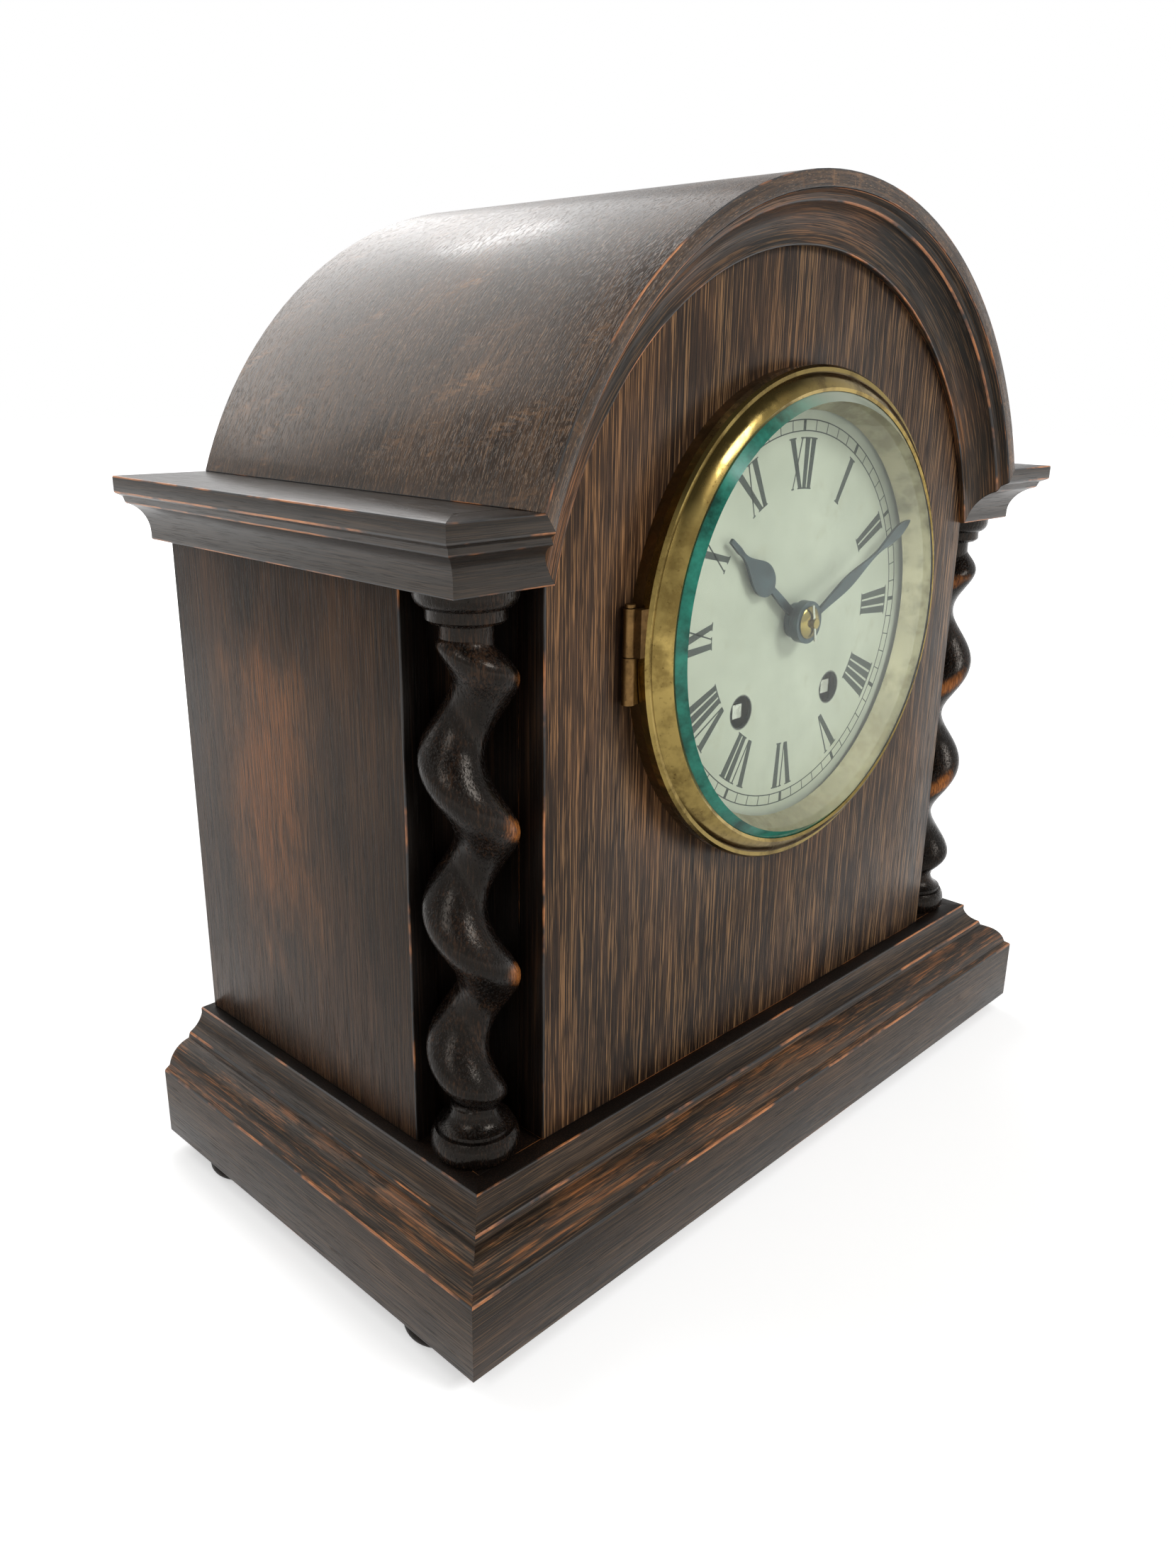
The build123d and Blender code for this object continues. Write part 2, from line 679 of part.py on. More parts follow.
def barley_column(side):
    """Corner column; the two sides twist opposite ways."""
    foot = Plane(origin=(side * COLUMN_X, -COLUMN_DEPTH, DECK_Z), x_dir=(1, 0, 0), z_dir=(0, -1, 0))
    axis = Axis((side * COLUMN_X, -COLUMN_DEPTH, DECK_Z), (0, 0, 1))
    foot_r = TORUS_FOOT_SHARE * COLUMN_BASE_R
    fillet_r = FILLET_R_SHARE * COLUMN_BASE_R
    torus_top = TORUS_TOP_SHARE * COLUMN_BASE_H
    fillet_top = FILLET_TOP_SHARE * COLUMN_BASE_H
    with BuildSketch(foot) as shape:
        with BuildLine():
            Line((0, 0), (foot_r, 0))
            ThreePointArc((foot_r, 0), (COLUMN_BASE_R, torus_top / 2), (foot_r, torus_top))
            Polyline((foot_r, torus_top), (fillet_r, torus_top), (fillet_r, fillet_top))
            ThreePointArc(
                (fillet_r, fillet_top),
                (CAVETTO_MID_SHARES[0] * COLUMN_BASE_R, CAVETTO_MID_SHARES[1] * COLUMN_BASE_H),
                (COLUMN_NECK_R, COLUMN_BASE_H),
            )
            Polyline((COLUMN_NECK_R, COLUMN_BASE_H), (0, COLUMN_BASE_H), (0, 0))
        make_face()
    revolve(shape.sketch, axis=axis)
    cap = CASE_H - COLUMN_CAP_H

    def cap_point(shares):
        return (shares[0] * COLUMN_CAP_R, cap + shares[1] * COLUMN_CAP_H)

    ring_top = cap_point((CAP_RING_SHARES[0], CAP_RING_TOP_SHARE))
    ovolo_end = cap_point((1, CAP_OVOLO_END_SHARE))
    with BuildSketch(foot) as shape:
        with BuildLine():
            Polyline(
                ovolo_end,
                (COLUMN_CAP_R, CASE_H),
                (0, CASE_H),
                (0, cap),
                (COLUMN_NECK_R, cap),
                (COLUMN_NECK_R, cap + CAP_NECK_SHARE * COLUMN_CAP_H),
                cap_point(CAP_FLARE_SHARES),
                cap_point(CAP_RING_SHARES),
                ring_top,
            )
            ThreePointArc(ring_top, cap_point(CAP_OVOLO_MID_SHARES), ovolo_end)
        make_face()
    revolve(shape.sketch, axis=axis)
    low = COLUMN_BASE_H - TWIST_EMBED_SHARE * COLUMN_BASE_H
    high = cap + TWIST_EMBED_SHARE * COLUMN_CAP_H
    count = round((high - low) / TWIST_PITCH * SECTIONS_PER_TURN)
    sections = []
    for section in range(count + 1):
        rise = low + (high - low) * section / count
        turn = TWIST_START + 360 * rise / TWIST_PITCH
        angle = radians(turn if side > 0 else 180 - turn)
        swell = min(1, (rise - low) / TWIST_RUNOUT, (high - rise) / TWIST_RUNOUT)
        throw = swell * TWIST_OFFSET
        with BuildSketch(Plane(origin=(side * COLUMN_X, -COLUMN_DEPTH, DECK_Z + rise))) as shape:
            with Locations((throw * cos(angle), throw * sin(angle))):
                Circle(COLUMN_NECK_R + swell * (TWIST_R - COLUMN_NECK_R))
        sections.append(shape.sketch)
    loft(sections)


with BuildPart() as twist_column_left:
    barley_column(-1)
finish(twist_column_left, "twist_column_left")

with BuildPart() as twist_column_right:
    barley_column(1)
finish(twist_column_right, "twist_column_right")

# Cornice: moulded side runs, with short front returns that meet the arch in mitres

CORNICE_SLAB_SHARE = 0.75
CORNICE_FILLET_SHARES = (0.24, 0.69)
CORNICE_COVE_START_SHARES = (0.31, 0.585)
CORNICE_COVE_MID_SHARES = (0.78, 0.43)
CORNICE_COVE_END_SHARE = 0.10


def cornice_section(width):
    """Section of the cornice: inward from its edge, and up from its underside."""

    def at(shares):
        return (shares[0] * CORNICE_REACH, shares[1] * CORNICE_H)

    slab_under = (0, CORNICE_SLAB_SHARE * CORNICE_H)
    cove_end = (CORNICE_REACH, CORNICE_COVE_END_SHARE * CORNICE_H)
    with BuildLine() as outline:
        Polyline((0, CORNICE_H), slab_under, at(CORNICE_FILLET_SHARES), at(CORNICE_COVE_START_SHARES))
        ThreePointArc(at(CORNICE_COVE_START_SHARES), at(CORNICE_COVE_MID_SHARES), cove_end)
        Polyline(cove_end, (CORNICE_REACH, 0), (width, 0), (width, CORNICE_H), (0, CORNICE_H))
    make_face(outline.edges())


SPRING_INNER_X = sqrt(ARCH_INNER_R**2 - (CORNICE_Z - DIAL_Z) ** 2)
SPRING_OUTER_X = sqrt(HOOD_R**2 - (CORNICE_TOP - DIAL_Z) ** 2)


def arch_spring(gap=0.0, mode=Mode.ADD):
    """Foot of the arch beside the cornice, between the mitres where the two meet."""
    with BuildLine() as outline:
        Polyline(
            (-SPRING_INNER_X - gap, CORNICE_Z),
            (SPRING_INNER_X + gap, CORNICE_Z),
            (SPRING_OUTER_X + gap, CORNICE_TOP),
            (-SPRING_OUTER_X - gap, CORNICE_TOP),
            close=True,
        )
    make_face(outline.edges(), mode=mode)


def cut_below_arch():
    """Cut away what would hang below the arch's foot and its mitres."""
    with BuildSketch(front_plane(PANEL_FRONT)) as shape:
        with Locations((0, CORNICE_TOP)):
            Rectangle(CORNICE_W, CORNICE_W, align=(Align.CENTER, Align.MAX))
        arch_spring(mode=Mode.SUBTRACT)
    extrude(shape.sketch, amount=RETURN_T, mode=Mode.SUBTRACT)


CORNICE_CORNER = (CORNICE_W / 2, -CORNICE_FRONT)
RUN_W = (CORNICE_W - PANEL_W) / 2

with BuildPart() as cornice_side_runs:
    run_plane = Plane(origin=(*CORNICE_CORNER, CORNICE_Z), x_dir=(-1, 0, 0), z_dir=(0, 1, 0))
    with BuildSketch(run_plane):
        cornice_section(RUN_W)
    extrude(amount=CORNICE_FRONT - CORNICE_BACK)
    with BuildSketch(Plane.XY.offset(CORNICE_Z)):
        with BuildLine():
            Polyline(
                CORNICE_CORNER,
                (CORNICE_CORNER[0] - RETURN_T, -PANEL_FRONT),
                (PANEL_W / 2 - OVERRUN, -PANEL_FRONT),
                (PANEL_W / 2 - OVERRUN, CORNICE_CORNER[1]),
                close=True,
            )
        make_face()
    extrude(amount=CORNICE_H, mode=Mode.SUBTRACT)
    mirror(about=Plane.YZ)
finish(cornice_side_runs, "cornice_side_runs")

with BuildPart() as cornice_returns:
    return_start = (SPRING_INNER_X, -CORNICE_FRONT, CORNICE_Z)
    with BuildSketch(Plane(origin=return_start, x_dir=(0, 1, 0), z_dir=(1, 0, 0))):
        cornice_section(RETURN_T)
    extrude(amount=CORNICE_W / 2 - SPRING_INNER_X)
    with BuildSketch(Plane.XY.offset(CORNICE_Z)):
        with BuildLine():
            Polyline(
                CORNICE_CORNER,
                (CORNICE_CORNER[0], -PANEL_FRONT),
                (CORNICE_CORNER[0] - RETURN_T, -PANEL_FRONT),
                close=True,
            )
        make_face()
    extrude(amount=CORNICE_H, mode=Mode.SUBTRACT)
    with BuildSketch(front_plane(PANEL_FRONT)):
        arch_spring(GLUE_GAP)
    extrude(amount=RETURN_T, mode=Mode.SUBTRACT)
    mirror(about=Plane.YZ)
finish(cornice_returns, "cornice_returns")

# Hood: half-round shell that stands on the cornice, and the arch moulding inside its front end

with BuildPart() as hood:
    bar((0, 0), HOOD_R, HOOD_BACK, CORNICE_FRONT)
    bar((0, 0), HOOD_R - HOOD_T, HOOD_BACK, CORNICE_FRONT, mode=Mode.SUBTRACT)
    with BuildSketch(front_plane(HOOD_BACK, CORNICE_TOP)):
        Rectangle(CORNICE_W, CORNICE_W, align=(Align.CENTER, Align.MAX))
    extrude(amount=PANEL_FRONT - HOOD_BACK, mode=Mode.SUBTRACT)
    cut_below_arch()
finish(hood, "hood")

with BuildPart() as arch_moulding:
    arch_outer_r = HOOD_R - HOOD_T - GLUE_GAP

    def arch_point(shares):
        return (ARCH_INNER_R + shares[1] * ARCH_W, CORNICE_FRONT - shares[0] * CORNICE_REACH)

    arch_edge = arch_point((1, CORNICE_COVE_END_SHARE))
    with BuildSketch(turning_plane()):
        with BuildLine():
            Polyline(
                arch_edge,
                arch_point((1, 0)),
                (ARCH_INNER_R, PANEL_FRONT),
                (arch_outer_r, PANEL_FRONT),
                (arch_outer_r, CORNICE_FRONT),
                arch_point(CORNICE_FILLET_SHARES),
                arch_point(CORNICE_COVE_START_SHARES),
            )
            ThreePointArc(
                arch_point(CORNICE_COVE_START_SHARES),
                arch_point(CORNICE_COVE_MID_SHARES),
                arch_edge,
            )
        make_face()
    revolve(axis=arbor_axis())
    cut_below_arch()
finish(arch_moulding, "arch_moulding")

# Back panel with a round-topped door, hung on two surface hinges and held by a turn button

DOOR_BOTTOM = DECK_Z + DOOR_RISE
DOOR_ARCH_Z = DOOR_BOTTOM + DOOR_STRAIGHT_H


def door_outline(grow):
    """Round-topped outline of the door, grown for its opening."""
    with Locations((0, DOOR_BOTTOM - grow)):
        Rectangle(DOOR_W + 2 * grow, DOOR_STRAIGHT_H + grow, align=(Align.CENTER, Align.MIN))
    with Locations((0, DOOR_ARCH_Z)):
        Circle(DOOR_W / 2 + grow)


BUTTON_AT = (-DOOR_W / 2 - DOOR_GAP - BUTTON_W, DOOR_BOTTOM + DOOR_STRAIGHT_H / 2)

with BuildPart() as back_panel:
    arched_board(CASE_BACK, BACK_T, SIDE_INNER_X)
    with BuildSketch(front_plane(CASE_BACK)):
        door_outline(DOOR_GAP)
    extrude(amount=BACK_T, mode=Mode.SUBTRACT)
    with BuildSketch(front_plane(CASE_BACK)):
        with Locations(BUTTON_AT):
            Circle(BUTTON_SCREW_R + RUN_CLEAR)
    extrude(amount=BUTTON_SCREW_DEPTH + SIDE_CLEAR, mode=Mode.SUBTRACT)
finish(back_panel, "back_panel")

with BuildPart() as back_door:
    with BuildSketch(front_plane(CASE_BACK)):
        door_outline(0)
    extrude(amount=BACK_T)
finish(back_door, "back_door")

HINGE_X = DOOR_W / 2 + DOOR_GAP / 2
HINGE_DEPTH = CASE_BACK - KNUCKLE_STANDOFF - KNUCKLE_R
HINGE_RISE_SHARES = (0.2, 0.8)
HINGE_HEIGHTS = [DOOR_BOTTOM + share * DOOR_STRAIGHT_H for share in HINGE_RISE_SHARES]
MIDDLE_KNUCKLE_H = LEAF_H / 3


def hinge_leaf(side):
    """Flat leaf on the outside of the back, ending at its knuckles; side 1 is the fixed one."""
    for middle in HINGE_HEIGHTS:
        with BuildSketch(front_plane(CASE_BACK - LEAF_T)) as shape:
            with Locations((HINGE_X, middle)):
                align = (Align.MIN if side > 0 else Align.MAX, Align.CENTER)
                Rectangle(LEAF_W, LEAF_H, align=align)
        extrude(shape.sketch, amount=LEAF_T)


def upright_bar(x, depth, radius, low, high, mode=Mode.ADD):
    with BuildSketch(Plane.XY.offset(low)) as shape:
        with Locations((x, -depth)):
            Circle(radius)
    extrude(shape.sketch, amount=high - low, mode=mode)


with BuildPart() as back_hinge_fixed:
    hinge_leaf(1)
    for middle in HINGE_HEIGHTS:
        half_middle = MIDDLE_KNUCKLE_H / 2 + KNUCKLE_GAP
        upright_bar(HINGE_X, HINGE_DEPTH, KNUCKLE_R + KNUCKLE_GAP, middle - half_middle, middle + half_middle,
                    mode=Mode.SUBTRACT)
        for low, high in ((-LEAF_H / 2, -half_middle), (half_middle, LEAF_H / 2)):
            upright_bar(HINGE_X, HINGE_DEPTH, KNUCKLE_R, middle + low, middle + high)
        upright_bar(HINGE_X, HINGE_DEPTH, BACK_PIN_R, middle - LEAF_H / 2, middle + LEAF_H / 2)
finish(back_hinge_fixed, "back_hinge_fixed")

with BuildPart() as back_hinge_moving:
    hinge_leaf(-1)
    for middle in HINGE_HEIGHTS:
        half_middle = MIDDLE_KNUCKLE_H / 2
        for low, high in ((-LEAF_H / 2, -half_middle), (half_middle, LEAF_H / 2)):
            upright_bar(HINGE_X, HINGE_DEPTH, KNUCKLE_R + KNUCKLE_GAP, middle + low, middle + high,
                        mode=Mode.SUBTRACT)
        upright_bar(HINGE_X, HINGE_DEPTH, KNUCKLE_R, middle - half_middle, middle + half_middle)
        upright_bar(HINGE_X, HINGE_DEPTH, BACK_PIN_R + RUN_CLEAR, middle - half_middle, middle + half_middle,
                    mode=Mode.SUBTRACT)
finish(back_hinge_moving, "back_hinge_moving")

with BuildPart() as turn_button:
    with BuildSketch(front_plane(CASE_BACK - SIDE_CLEAR - BUTTON_T)):
        with Locations(BUTTON_AT):
            SlotOverall(BUTTON_L, BUTTON_W, rotation=90)
    extrude(amount=BUTTON_T)
    with BuildSketch(front_plane(CASE_BACK - SIDE_CLEAR)):
        with Locations(BUTTON_AT):
            Circle(BUTTON_SCREW_R)
    extrude(amount=BUTTON_SCREW_DEPTH)
finish(turn_button, "turn_button")

# Dial, base ring, hinged bezel, glass and sight ring

DIAL_REAR = PANEL_FRONT - DIAL_T

with BuildPart() as dial_plate:
    bar((0, 0), DIAL_R, DIAL_REAR, PANEL_FRONT)
    bar((0, 0), DIAL_CENTRE_HOLE_R, DIAL_REAR, PANEL_FRONT, mode=Mode.SUBTRACT)
    for winding_at in (GOING_BARREL_AT, STRIKE_BARREL_AT):
        bar(winding_at, WINDING_HOLE_R, DIAL_REAR, PANEL_FRONT, mode=Mode.SUBTRACT)
finish(dial_plate, "dial_plate")

BASE_RING_FRONT = PANEL_FRONT + BASE_RING_T
TAB_IN_SHARE = 0.96
UPPER_KNUCKLE = (DIAL_Z + KNUCKLE_GAP / 2, DIAL_Z + BEZEL_KNUCKLE_L)
LOWER_KNUCKLE = (DIAL_Z - BEZEL_KNUCKLE_L, DIAL_Z - KNUCKLE_GAP / 2)


def bezel_knuckle(span, tab_rear, tab_front, ring_r):
    """Knuckle beside the ring, joined to it by a tab."""
    low, high = span
    with BuildSketch(Plane.XY.offset(low)) as shape:
        with Locations((BEZEL_HINGE_X, -tab_rear)):
            tab_l = -BEZEL_HINGE_X - TAB_IN_SHARE * ring_r
            Rectangle(tab_l, tab_front - tab_rear, align=(Align.MIN, Align.MAX))
        with Locations((BEZEL_HINGE_X, -BEZEL_HINGE_DEPTH)):
            Circle(BEZEL_KNUCKLE_R)
    extrude(shape.sketch, amount=high - low)


with BuildPart() as bezel_base_ring:
    bezel_knuckle(LOWER_KNUCKLE, PANEL_FRONT + SIDE_CLEAR, BASE_RING_FRONT, BASE_RING_R)
    bar((0, 0), BASE_RING_R, PANEL_FRONT, BASE_RING_FRONT)
    bar((0, 0), BASE_RING_BORE_R, PANEL_FRONT, BASE_RING_FRONT, mode=Mode.SUBTRACT)
    upright_bar(BEZEL_HINGE_X, BEZEL_HINGE_DEPTH, BEZEL_PIN_R, *LOWER_KNUCKLE, mode=Mode.SUBTRACT)
finish(bezel_base_ring, "bezel_base_ring")

BEZEL_STEP_SHARES = (0.10, 0.20)
BEZEL_FILLET_SHARES = (0.26, 0.20)
BEZEL_OGEE_MID_SHARES = (0.56, 0.74)
BEZEL_CREST_SHARES = (0.86, 1.0)
BEZEL_RIM_FRONT = BEZEL_BACK + BEZEL_RIM_T
GLASS_LIP_REAR = GLASS_BACK + GLASS_EDGE_T
BEZEL_CREST = GLASS_LIP_REAR + GLASS_LIP_T
GLASS_SEAT_R = GLASS_R + GLUE_GAP
SIGHT_FLANGE_R = GLASS_SEAT_R + SIGHT_T

with BuildPart() as bezel_ring:

    def bezel_point(shares):
        return (
            BEZEL_R - shares[0] * (BEZEL_R - GLASS_LIP_R),
            BEZEL_RIM_FRONT + shares[1] * (BEZEL_CREST - BEZEL_RIM_FRONT),
        )

    with BuildSketch(turning_plane()):
        with BuildLine():
            Polyline(
                (SIGHT_FLANGE_R, BEZEL_BACK),
                (BEZEL_R, BEZEL_BACK),
                (BEZEL_R, BEZEL_RIM_FRONT),
                bezel_point(BEZEL_STEP_SHARES),
                bezel_point(BEZEL_FILLET_SHARES),
            )
            ThreePointArc(
                bezel_point(BEZEL_FILLET_SHARES),
                bezel_point(BEZEL_OGEE_MID_SHARES),
                bezel_point(BEZEL_CREST_SHARES),
            )
            Polyline(
                bezel_point(BEZEL_CREST_SHARES),
                (GLASS_LIP_R, GLASS_LIP_REAR + GLASS_LIP_T / 2),
                (GLASS_LIP_R, GLASS_LIP_REAR),
                (GLASS_SEAT_R, GLASS_LIP_REAR),
                (GLASS_SEAT_R, GLASS_BACK),
                (SIGHT_FLANGE_R, GLASS_BACK),
                (SIGHT_FLANGE_R, BEZEL_BACK),
            )
        make_face()
    revolve(axis=arbor_axis())
    bezel_knuckle(UPPER_KNUCKLE, BEZEL_BACK, BEZEL_RIM_FRONT, BEZEL_R)
    upright_bar(BEZEL_HINGE_X, BEZEL_HINGE_DEPTH, BEZEL_PIN_R + RUN_CLEAR, *UPPER_KNUCKLE, mode=Mode.SUBTRACT)
finish(bezel_ring, "bezel_ring")

with BuildPart() as bezel_hinge_pin:
    head_z = UPPER_KNUCKLE[1] + KNUCKLE_GAP
    upright_bar(BEZEL_HINGE_X, BEZEL_HINGE_DEPTH, BEZEL_PIN_R, LOWER_KNUCKLE[0], head_z)
    upright_bar(BEZEL_HINGE_X, BEZEL_HINGE_DEPTH, BEZEL_PIN_HEAD_R, head_z, head_z + BEZEL_PIN_HEAD_H)
finish(bezel_hinge_pin, "bezel_hinge_pin")

with BuildPart() as bezel_glass:
    with BuildSketch(turning_plane()):
        with BuildLine():
            Polyline(
                (0, GLASS_BACK),
                (GLASS_R, GLASS_BACK),
                (GLASS_R, GLASS_LIP_REAR),
                (GLASS_LIP_R - GLUE_GAP, GLASS_LIP_REAR),
                (GLASS_FLAT_R, GLASS_FRONT),
                (0, GLASS_FRONT),
                close=True,
            )
        make_face()
    revolve(axis=arbor_axis())
finish(bezel_glass, "bezel_glass")

with BuildPart() as sight_ring:
    with BuildSketch(turning_plane()):
        with BuildLine():
            Polyline(
                (SIGHT_REAR_R, SIGHT_REAR),
                (SIGHT_REAR_R + SIGHT_T, SIGHT_REAR),
                (GLASS_LIP_R + SIGHT_T, GLASS_BACK - SIGHT_T),
                (SIGHT_FLANGE_R - GLUE_GAP, GLASS_BACK - SIGHT_T),
                (SIGHT_FLANGE_R - GLUE_GAP, GLASS_BACK),
                (GLASS_LIP_R - SIGHT_T, GLASS_BACK),
                close=True,
            )
        make_face()
    revolve(axis=arbor_axis())
finish(sight_ring, "sight_ring")

# Hands, drawn pointing up and then turned to the time of day

# Each outline runs from the root to the tip as (share of the widest half, share of the length)
HOUR_STEM_SHARES = ((0.72, 0.0), (1.0, 0.29), (0.8, 0.405))
HOUR_PEAR_SHARES = ((0.21, 0.405), (0.8, 0.456), (1.0, 0.55), (0.46, 0.71), (0.2, 0.88))
MINUTE_SHARES = ((0.5, 0.0), (0.54, 0.15), (1.0, 0.39), (0.29, 0.69), (0.97, 0.865), (0.12, 1.0))


def outline_points(shares, width, length):
    return [(across * width / 2, along * length) for across, along in shares]


def collet(radius, bore, rear, front):
    """Round boss that carries a hand on its pipe."""
    bar(CENTRE_AT, radius, rear, front)
    bar(CENTRE_AT, bore + GLUE_GAP, rear, front, mode=Mode.SUBTRACT)


with BuildPart() as hour_hand:
    stem = outline_points(HOUR_STEM_SHARES, HOUR_STEM_W, HOUR_HAND_L)
    pear = outline_points(HOUR_PEAR_SHARES, HOUR_PEAR_W, HOUR_HAND_L)
    with BuildSketch(turned_plane(HOUR_HAND_DEPTH, -HOUR_ANGLE)):
        with BuildLine():
            Line((0, 0), stem[0])
            Spline(*stem)
            Line(stem[-1], pear[0])
            Spline(*pear)
            Polyline(pear[-1], (HOUR_TIP_W / 2, HOUR_HAND_L), (0, HOUR_HAND_L), (0, 0))
        make_face()
        mirror(about=Plane.YZ)
    extrude(amount=HAND_T)
    collet(HOUR_COLLET_R, HOUR_PIPE_R, HOUR_COLLET_REAR, HOUR_HAND_DEPTH + HAND_T)
finish(hour_hand, "hour_hand")

with BuildPart() as minute_hand:
    edge = outline_points(MINUTE_SHARES, MINUTE_SWELL_W, MINUTE_HAND_L)
    with BuildSketch(turned_plane(MINUTE_HAND_DEPTH, -MINUTE_ANGLE)):
        with BuildLine():
            Line((0, 0), edge[0])
            Spline(*edge)
            Polyline(edge[-1], (0, MINUTE_HAND_L), (0, 0))
        make_face()
        mirror(about=Plane.YZ)
    extrude(amount=HAND_T)
    collet(MINUTE_COLLET_R, CANNON_PIPE_R, MINUTE_COLLET_REAR, MINUTE_HAND_DEPTH + HAND_T)
finish(minute_hand, "minute_hand")

WASHER_REAR = MINUTE_HAND_DEPTH + HAND_T + SIDE_CLEAR
HAND_PIN_DEPTH = WASHER_REAR + WASHER_T + HAND_PIN_R + RUN_CLEAR
CENTRE_END = HAND_PIN_DEPTH + 2 * HAND_PIN_R
HAND_PIN_ALONG = (-sin(radians(HAND_PIN_LEAN)), 0, cos(radians(HAND_PIN_LEAN)))
HAND_PIN_PLANE = Plane(origin=(0, -HAND_PIN_DEPTH, DIAL_Z), x_dir=(0, 1, 0), z_dir=HAND_PIN_ALONG)

with BuildPart() as hand_washer:
    with BuildSketch(turning_plane()):
        with BuildLine():
            bore = CENTRE_ARBOR_R + RUN_CLEAR
            Polyline((WASHER_R, WASHER_REAR), (bore, WASHER_REAR), (bore, WASHER_REAR + WASHER_T))
            RadiusArc((bore, WASHER_REAR + WASHER_T), (WASHER_R, WASHER_REAR), WASHER_R)
        make_face()
    revolve(axis=arbor_axis())
finish(hand_washer, "hand_washer")

with BuildPart() as hand_pin:
    with BuildSketch(HAND_PIN_PLANE):
        Circle(HAND_PIN_R)
    extrude(amount=HAND_PIN_L / 2, both=True)
finish(hand_pin, "hand_pin")

# Movement plates, pillars and fixing brackets

TRAIN_ARBORS = (SECOND_AT, THIRD_AT, ESCAPE_AT, STRIKE_SECOND_AT, PIN_WHEEL_AT, WARNING_AT, FLY_AT)
BARRELS = (GOING_BARREL_AT, STRIKE_BARREL_AT)
CLICK_R = RATCHET_R + CLICK_W
CLICKS = tuple((at[0] + CLICK_REACH * (1 if at[0] > 0 else -1), at[1] + CLICK_R) for at in BARRELS)


def plate_outline(rear):
    with BuildSketch(dial_plane(rear)) as shape:
        with Locations((0, (PLATE_TOP + PLATE_BOTTOM) / 2)):
            RectangleRounded(2 * PLATE_HALF_W, PLATE_TOP - PLATE_BOTTOM, PILLAR_INSET)
    extrude(shape.sketch, amount=PLATE_T)


def plate_hole(at, radius, rear):
    bar(at, radius, rear, rear + PLATE_T, mode=Mode.SUBTRACT)


with BuildPart() as front_plate:
    plate_outline(FRONT_PLATE_REAR)
    for place in TRAIN_ARBORS:
        plate_hole(place, PIVOT_R + RUN_CLEAR, FRONT_PLATE_REAR)
    for place in BARRELS:
        plate_hole(place, ARBOR_R + RUN_CLEAR, FRONT_PLATE_REAR)
    for place in CLICKS:
        plate_hole(place, CLICK_STUD_R + RUN_CLEAR, FRONT_PLATE_REAR)
    plate_hole(CENTRE_AT, CENTRE_ARBOR_R + RUN_CLEAR, FRONT_PLATE_REAR)
    plate_hole(ANCHOR_AT, PIVOT_R + RUN_CLEAR, FRONT_PLATE_REAR)
    plate_hole(HAMMER_AT, PIVOT_R + RUN_CLEAR, FRONT_PLATE_REAR)
    plate_hole(MINUTE_AT, PIVOT_R + RUN_CLEAR, FRONT_PLATE_REAR)
finish(front_plate, "front_plate")

with BuildPart() as back_plate:
    plate_outline(BACK_PLATE_REAR)
    for place in TRAIN_ARBORS:
        hole_r = TRAIN_ARBOR_R if place == STRIKE_SECOND_AT else PIVOT_R
        plate_hole(place, hole_r + RUN_CLEAR, BACK_PLATE_REAR)
    for place in BARRELS:
        plate_hole(place, ARBOR_R + RUN_CLEAR, BACK_PLATE_REAR)
    plate_hole(CENTRE_AT, PIVOT_R + RUN_CLEAR, BACK_PLATE_REAR)
    plate_hole(ANCHOR_AT, BACK_PLATE_ANCHOR_HOLE_R, BACK_PLATE_REAR)
    plate_hole(HAMMER_AT, HAMMER_ARBOR_R + RUN_CLEAR, BACK_PLATE_REAR)
finish(back_plate, "back_plate")

with BuildPart() as plate_pillars:
    for pillar_x in (-PLATE_HALF_W + PILLAR_INSET, PLATE_HALF_W - PILLAR_INSET):
        for pillar_z in (PLATE_BOTTOM + PILLAR_INSET, PLATE_TOP - PILLAR_INSET):
            bar((pillar_x, pillar_z), PILLAR_R, BACK_PLATE_FRONT, FRONT_PLATE_REAR)
finish(plate_pillars, "plate_pillars")

with BuildPart() as movement_brackets:
    for angle in (45, 135, 225, 315):
        with BuildSketch(turned_plane(FRONT_PLATE_FRONT, angle)):
            with Locations((BRACKET_START_R, 0)):
                arm_l = BRACKET_FOOT_AT_R + BRACKET_W / 2 - BRACKET_START_R
                Rectangle(arm_l, BRACKET_W, align=(Align.MIN, Align.CENTER))
        extrude(amount=BRACKET_T)
        foot_at = step_from((0, 0), BRACKET_FOOT_AT_R, angle)
        bar(foot_at, BRACKET_FOOT_R, FRONT_PLATE_FRONT + BRACKET_T, PANEL_REAR)
finish(movement_brackets, "movement_brackets")

# Barrels, mainsprings, winding arbors and clicks

BARREL_TEETH_FRONT = BARREL_TEETH_REAR + BARREL_TEETH_T
BARREL_INNER_REAR = BARREL_REAR + BARREL_WALL
BARREL_INNER_FRONT = BARREL_TEETH_FRONT - BARREL_WALL
RATCHET_LEAN_SHARE = 0.85


def barrel(at):
    """Spring drum with a toothed flange at its front, free on its arbor."""
    bar(at, BARREL_R, BARREL_REAR, BARREL_TEETH_REAR)
    toothed_disc(at, BARREL_TEETH, BARREL_MODULE, 0.0, BARREL_TEETH_REAR, BARREL_TEETH_T)
    bar(at, BARREL_R - BARREL_WALL, BARREL_INNER_REAR, BARREL_INNER_FRONT, mode=Mode.SUBTRACT)
    bar(at, ARBOR_R + RUN_CLEAR, BARREL_REAR, BARREL_TEETH_FRONT, mode=Mode.SUBTRACT)


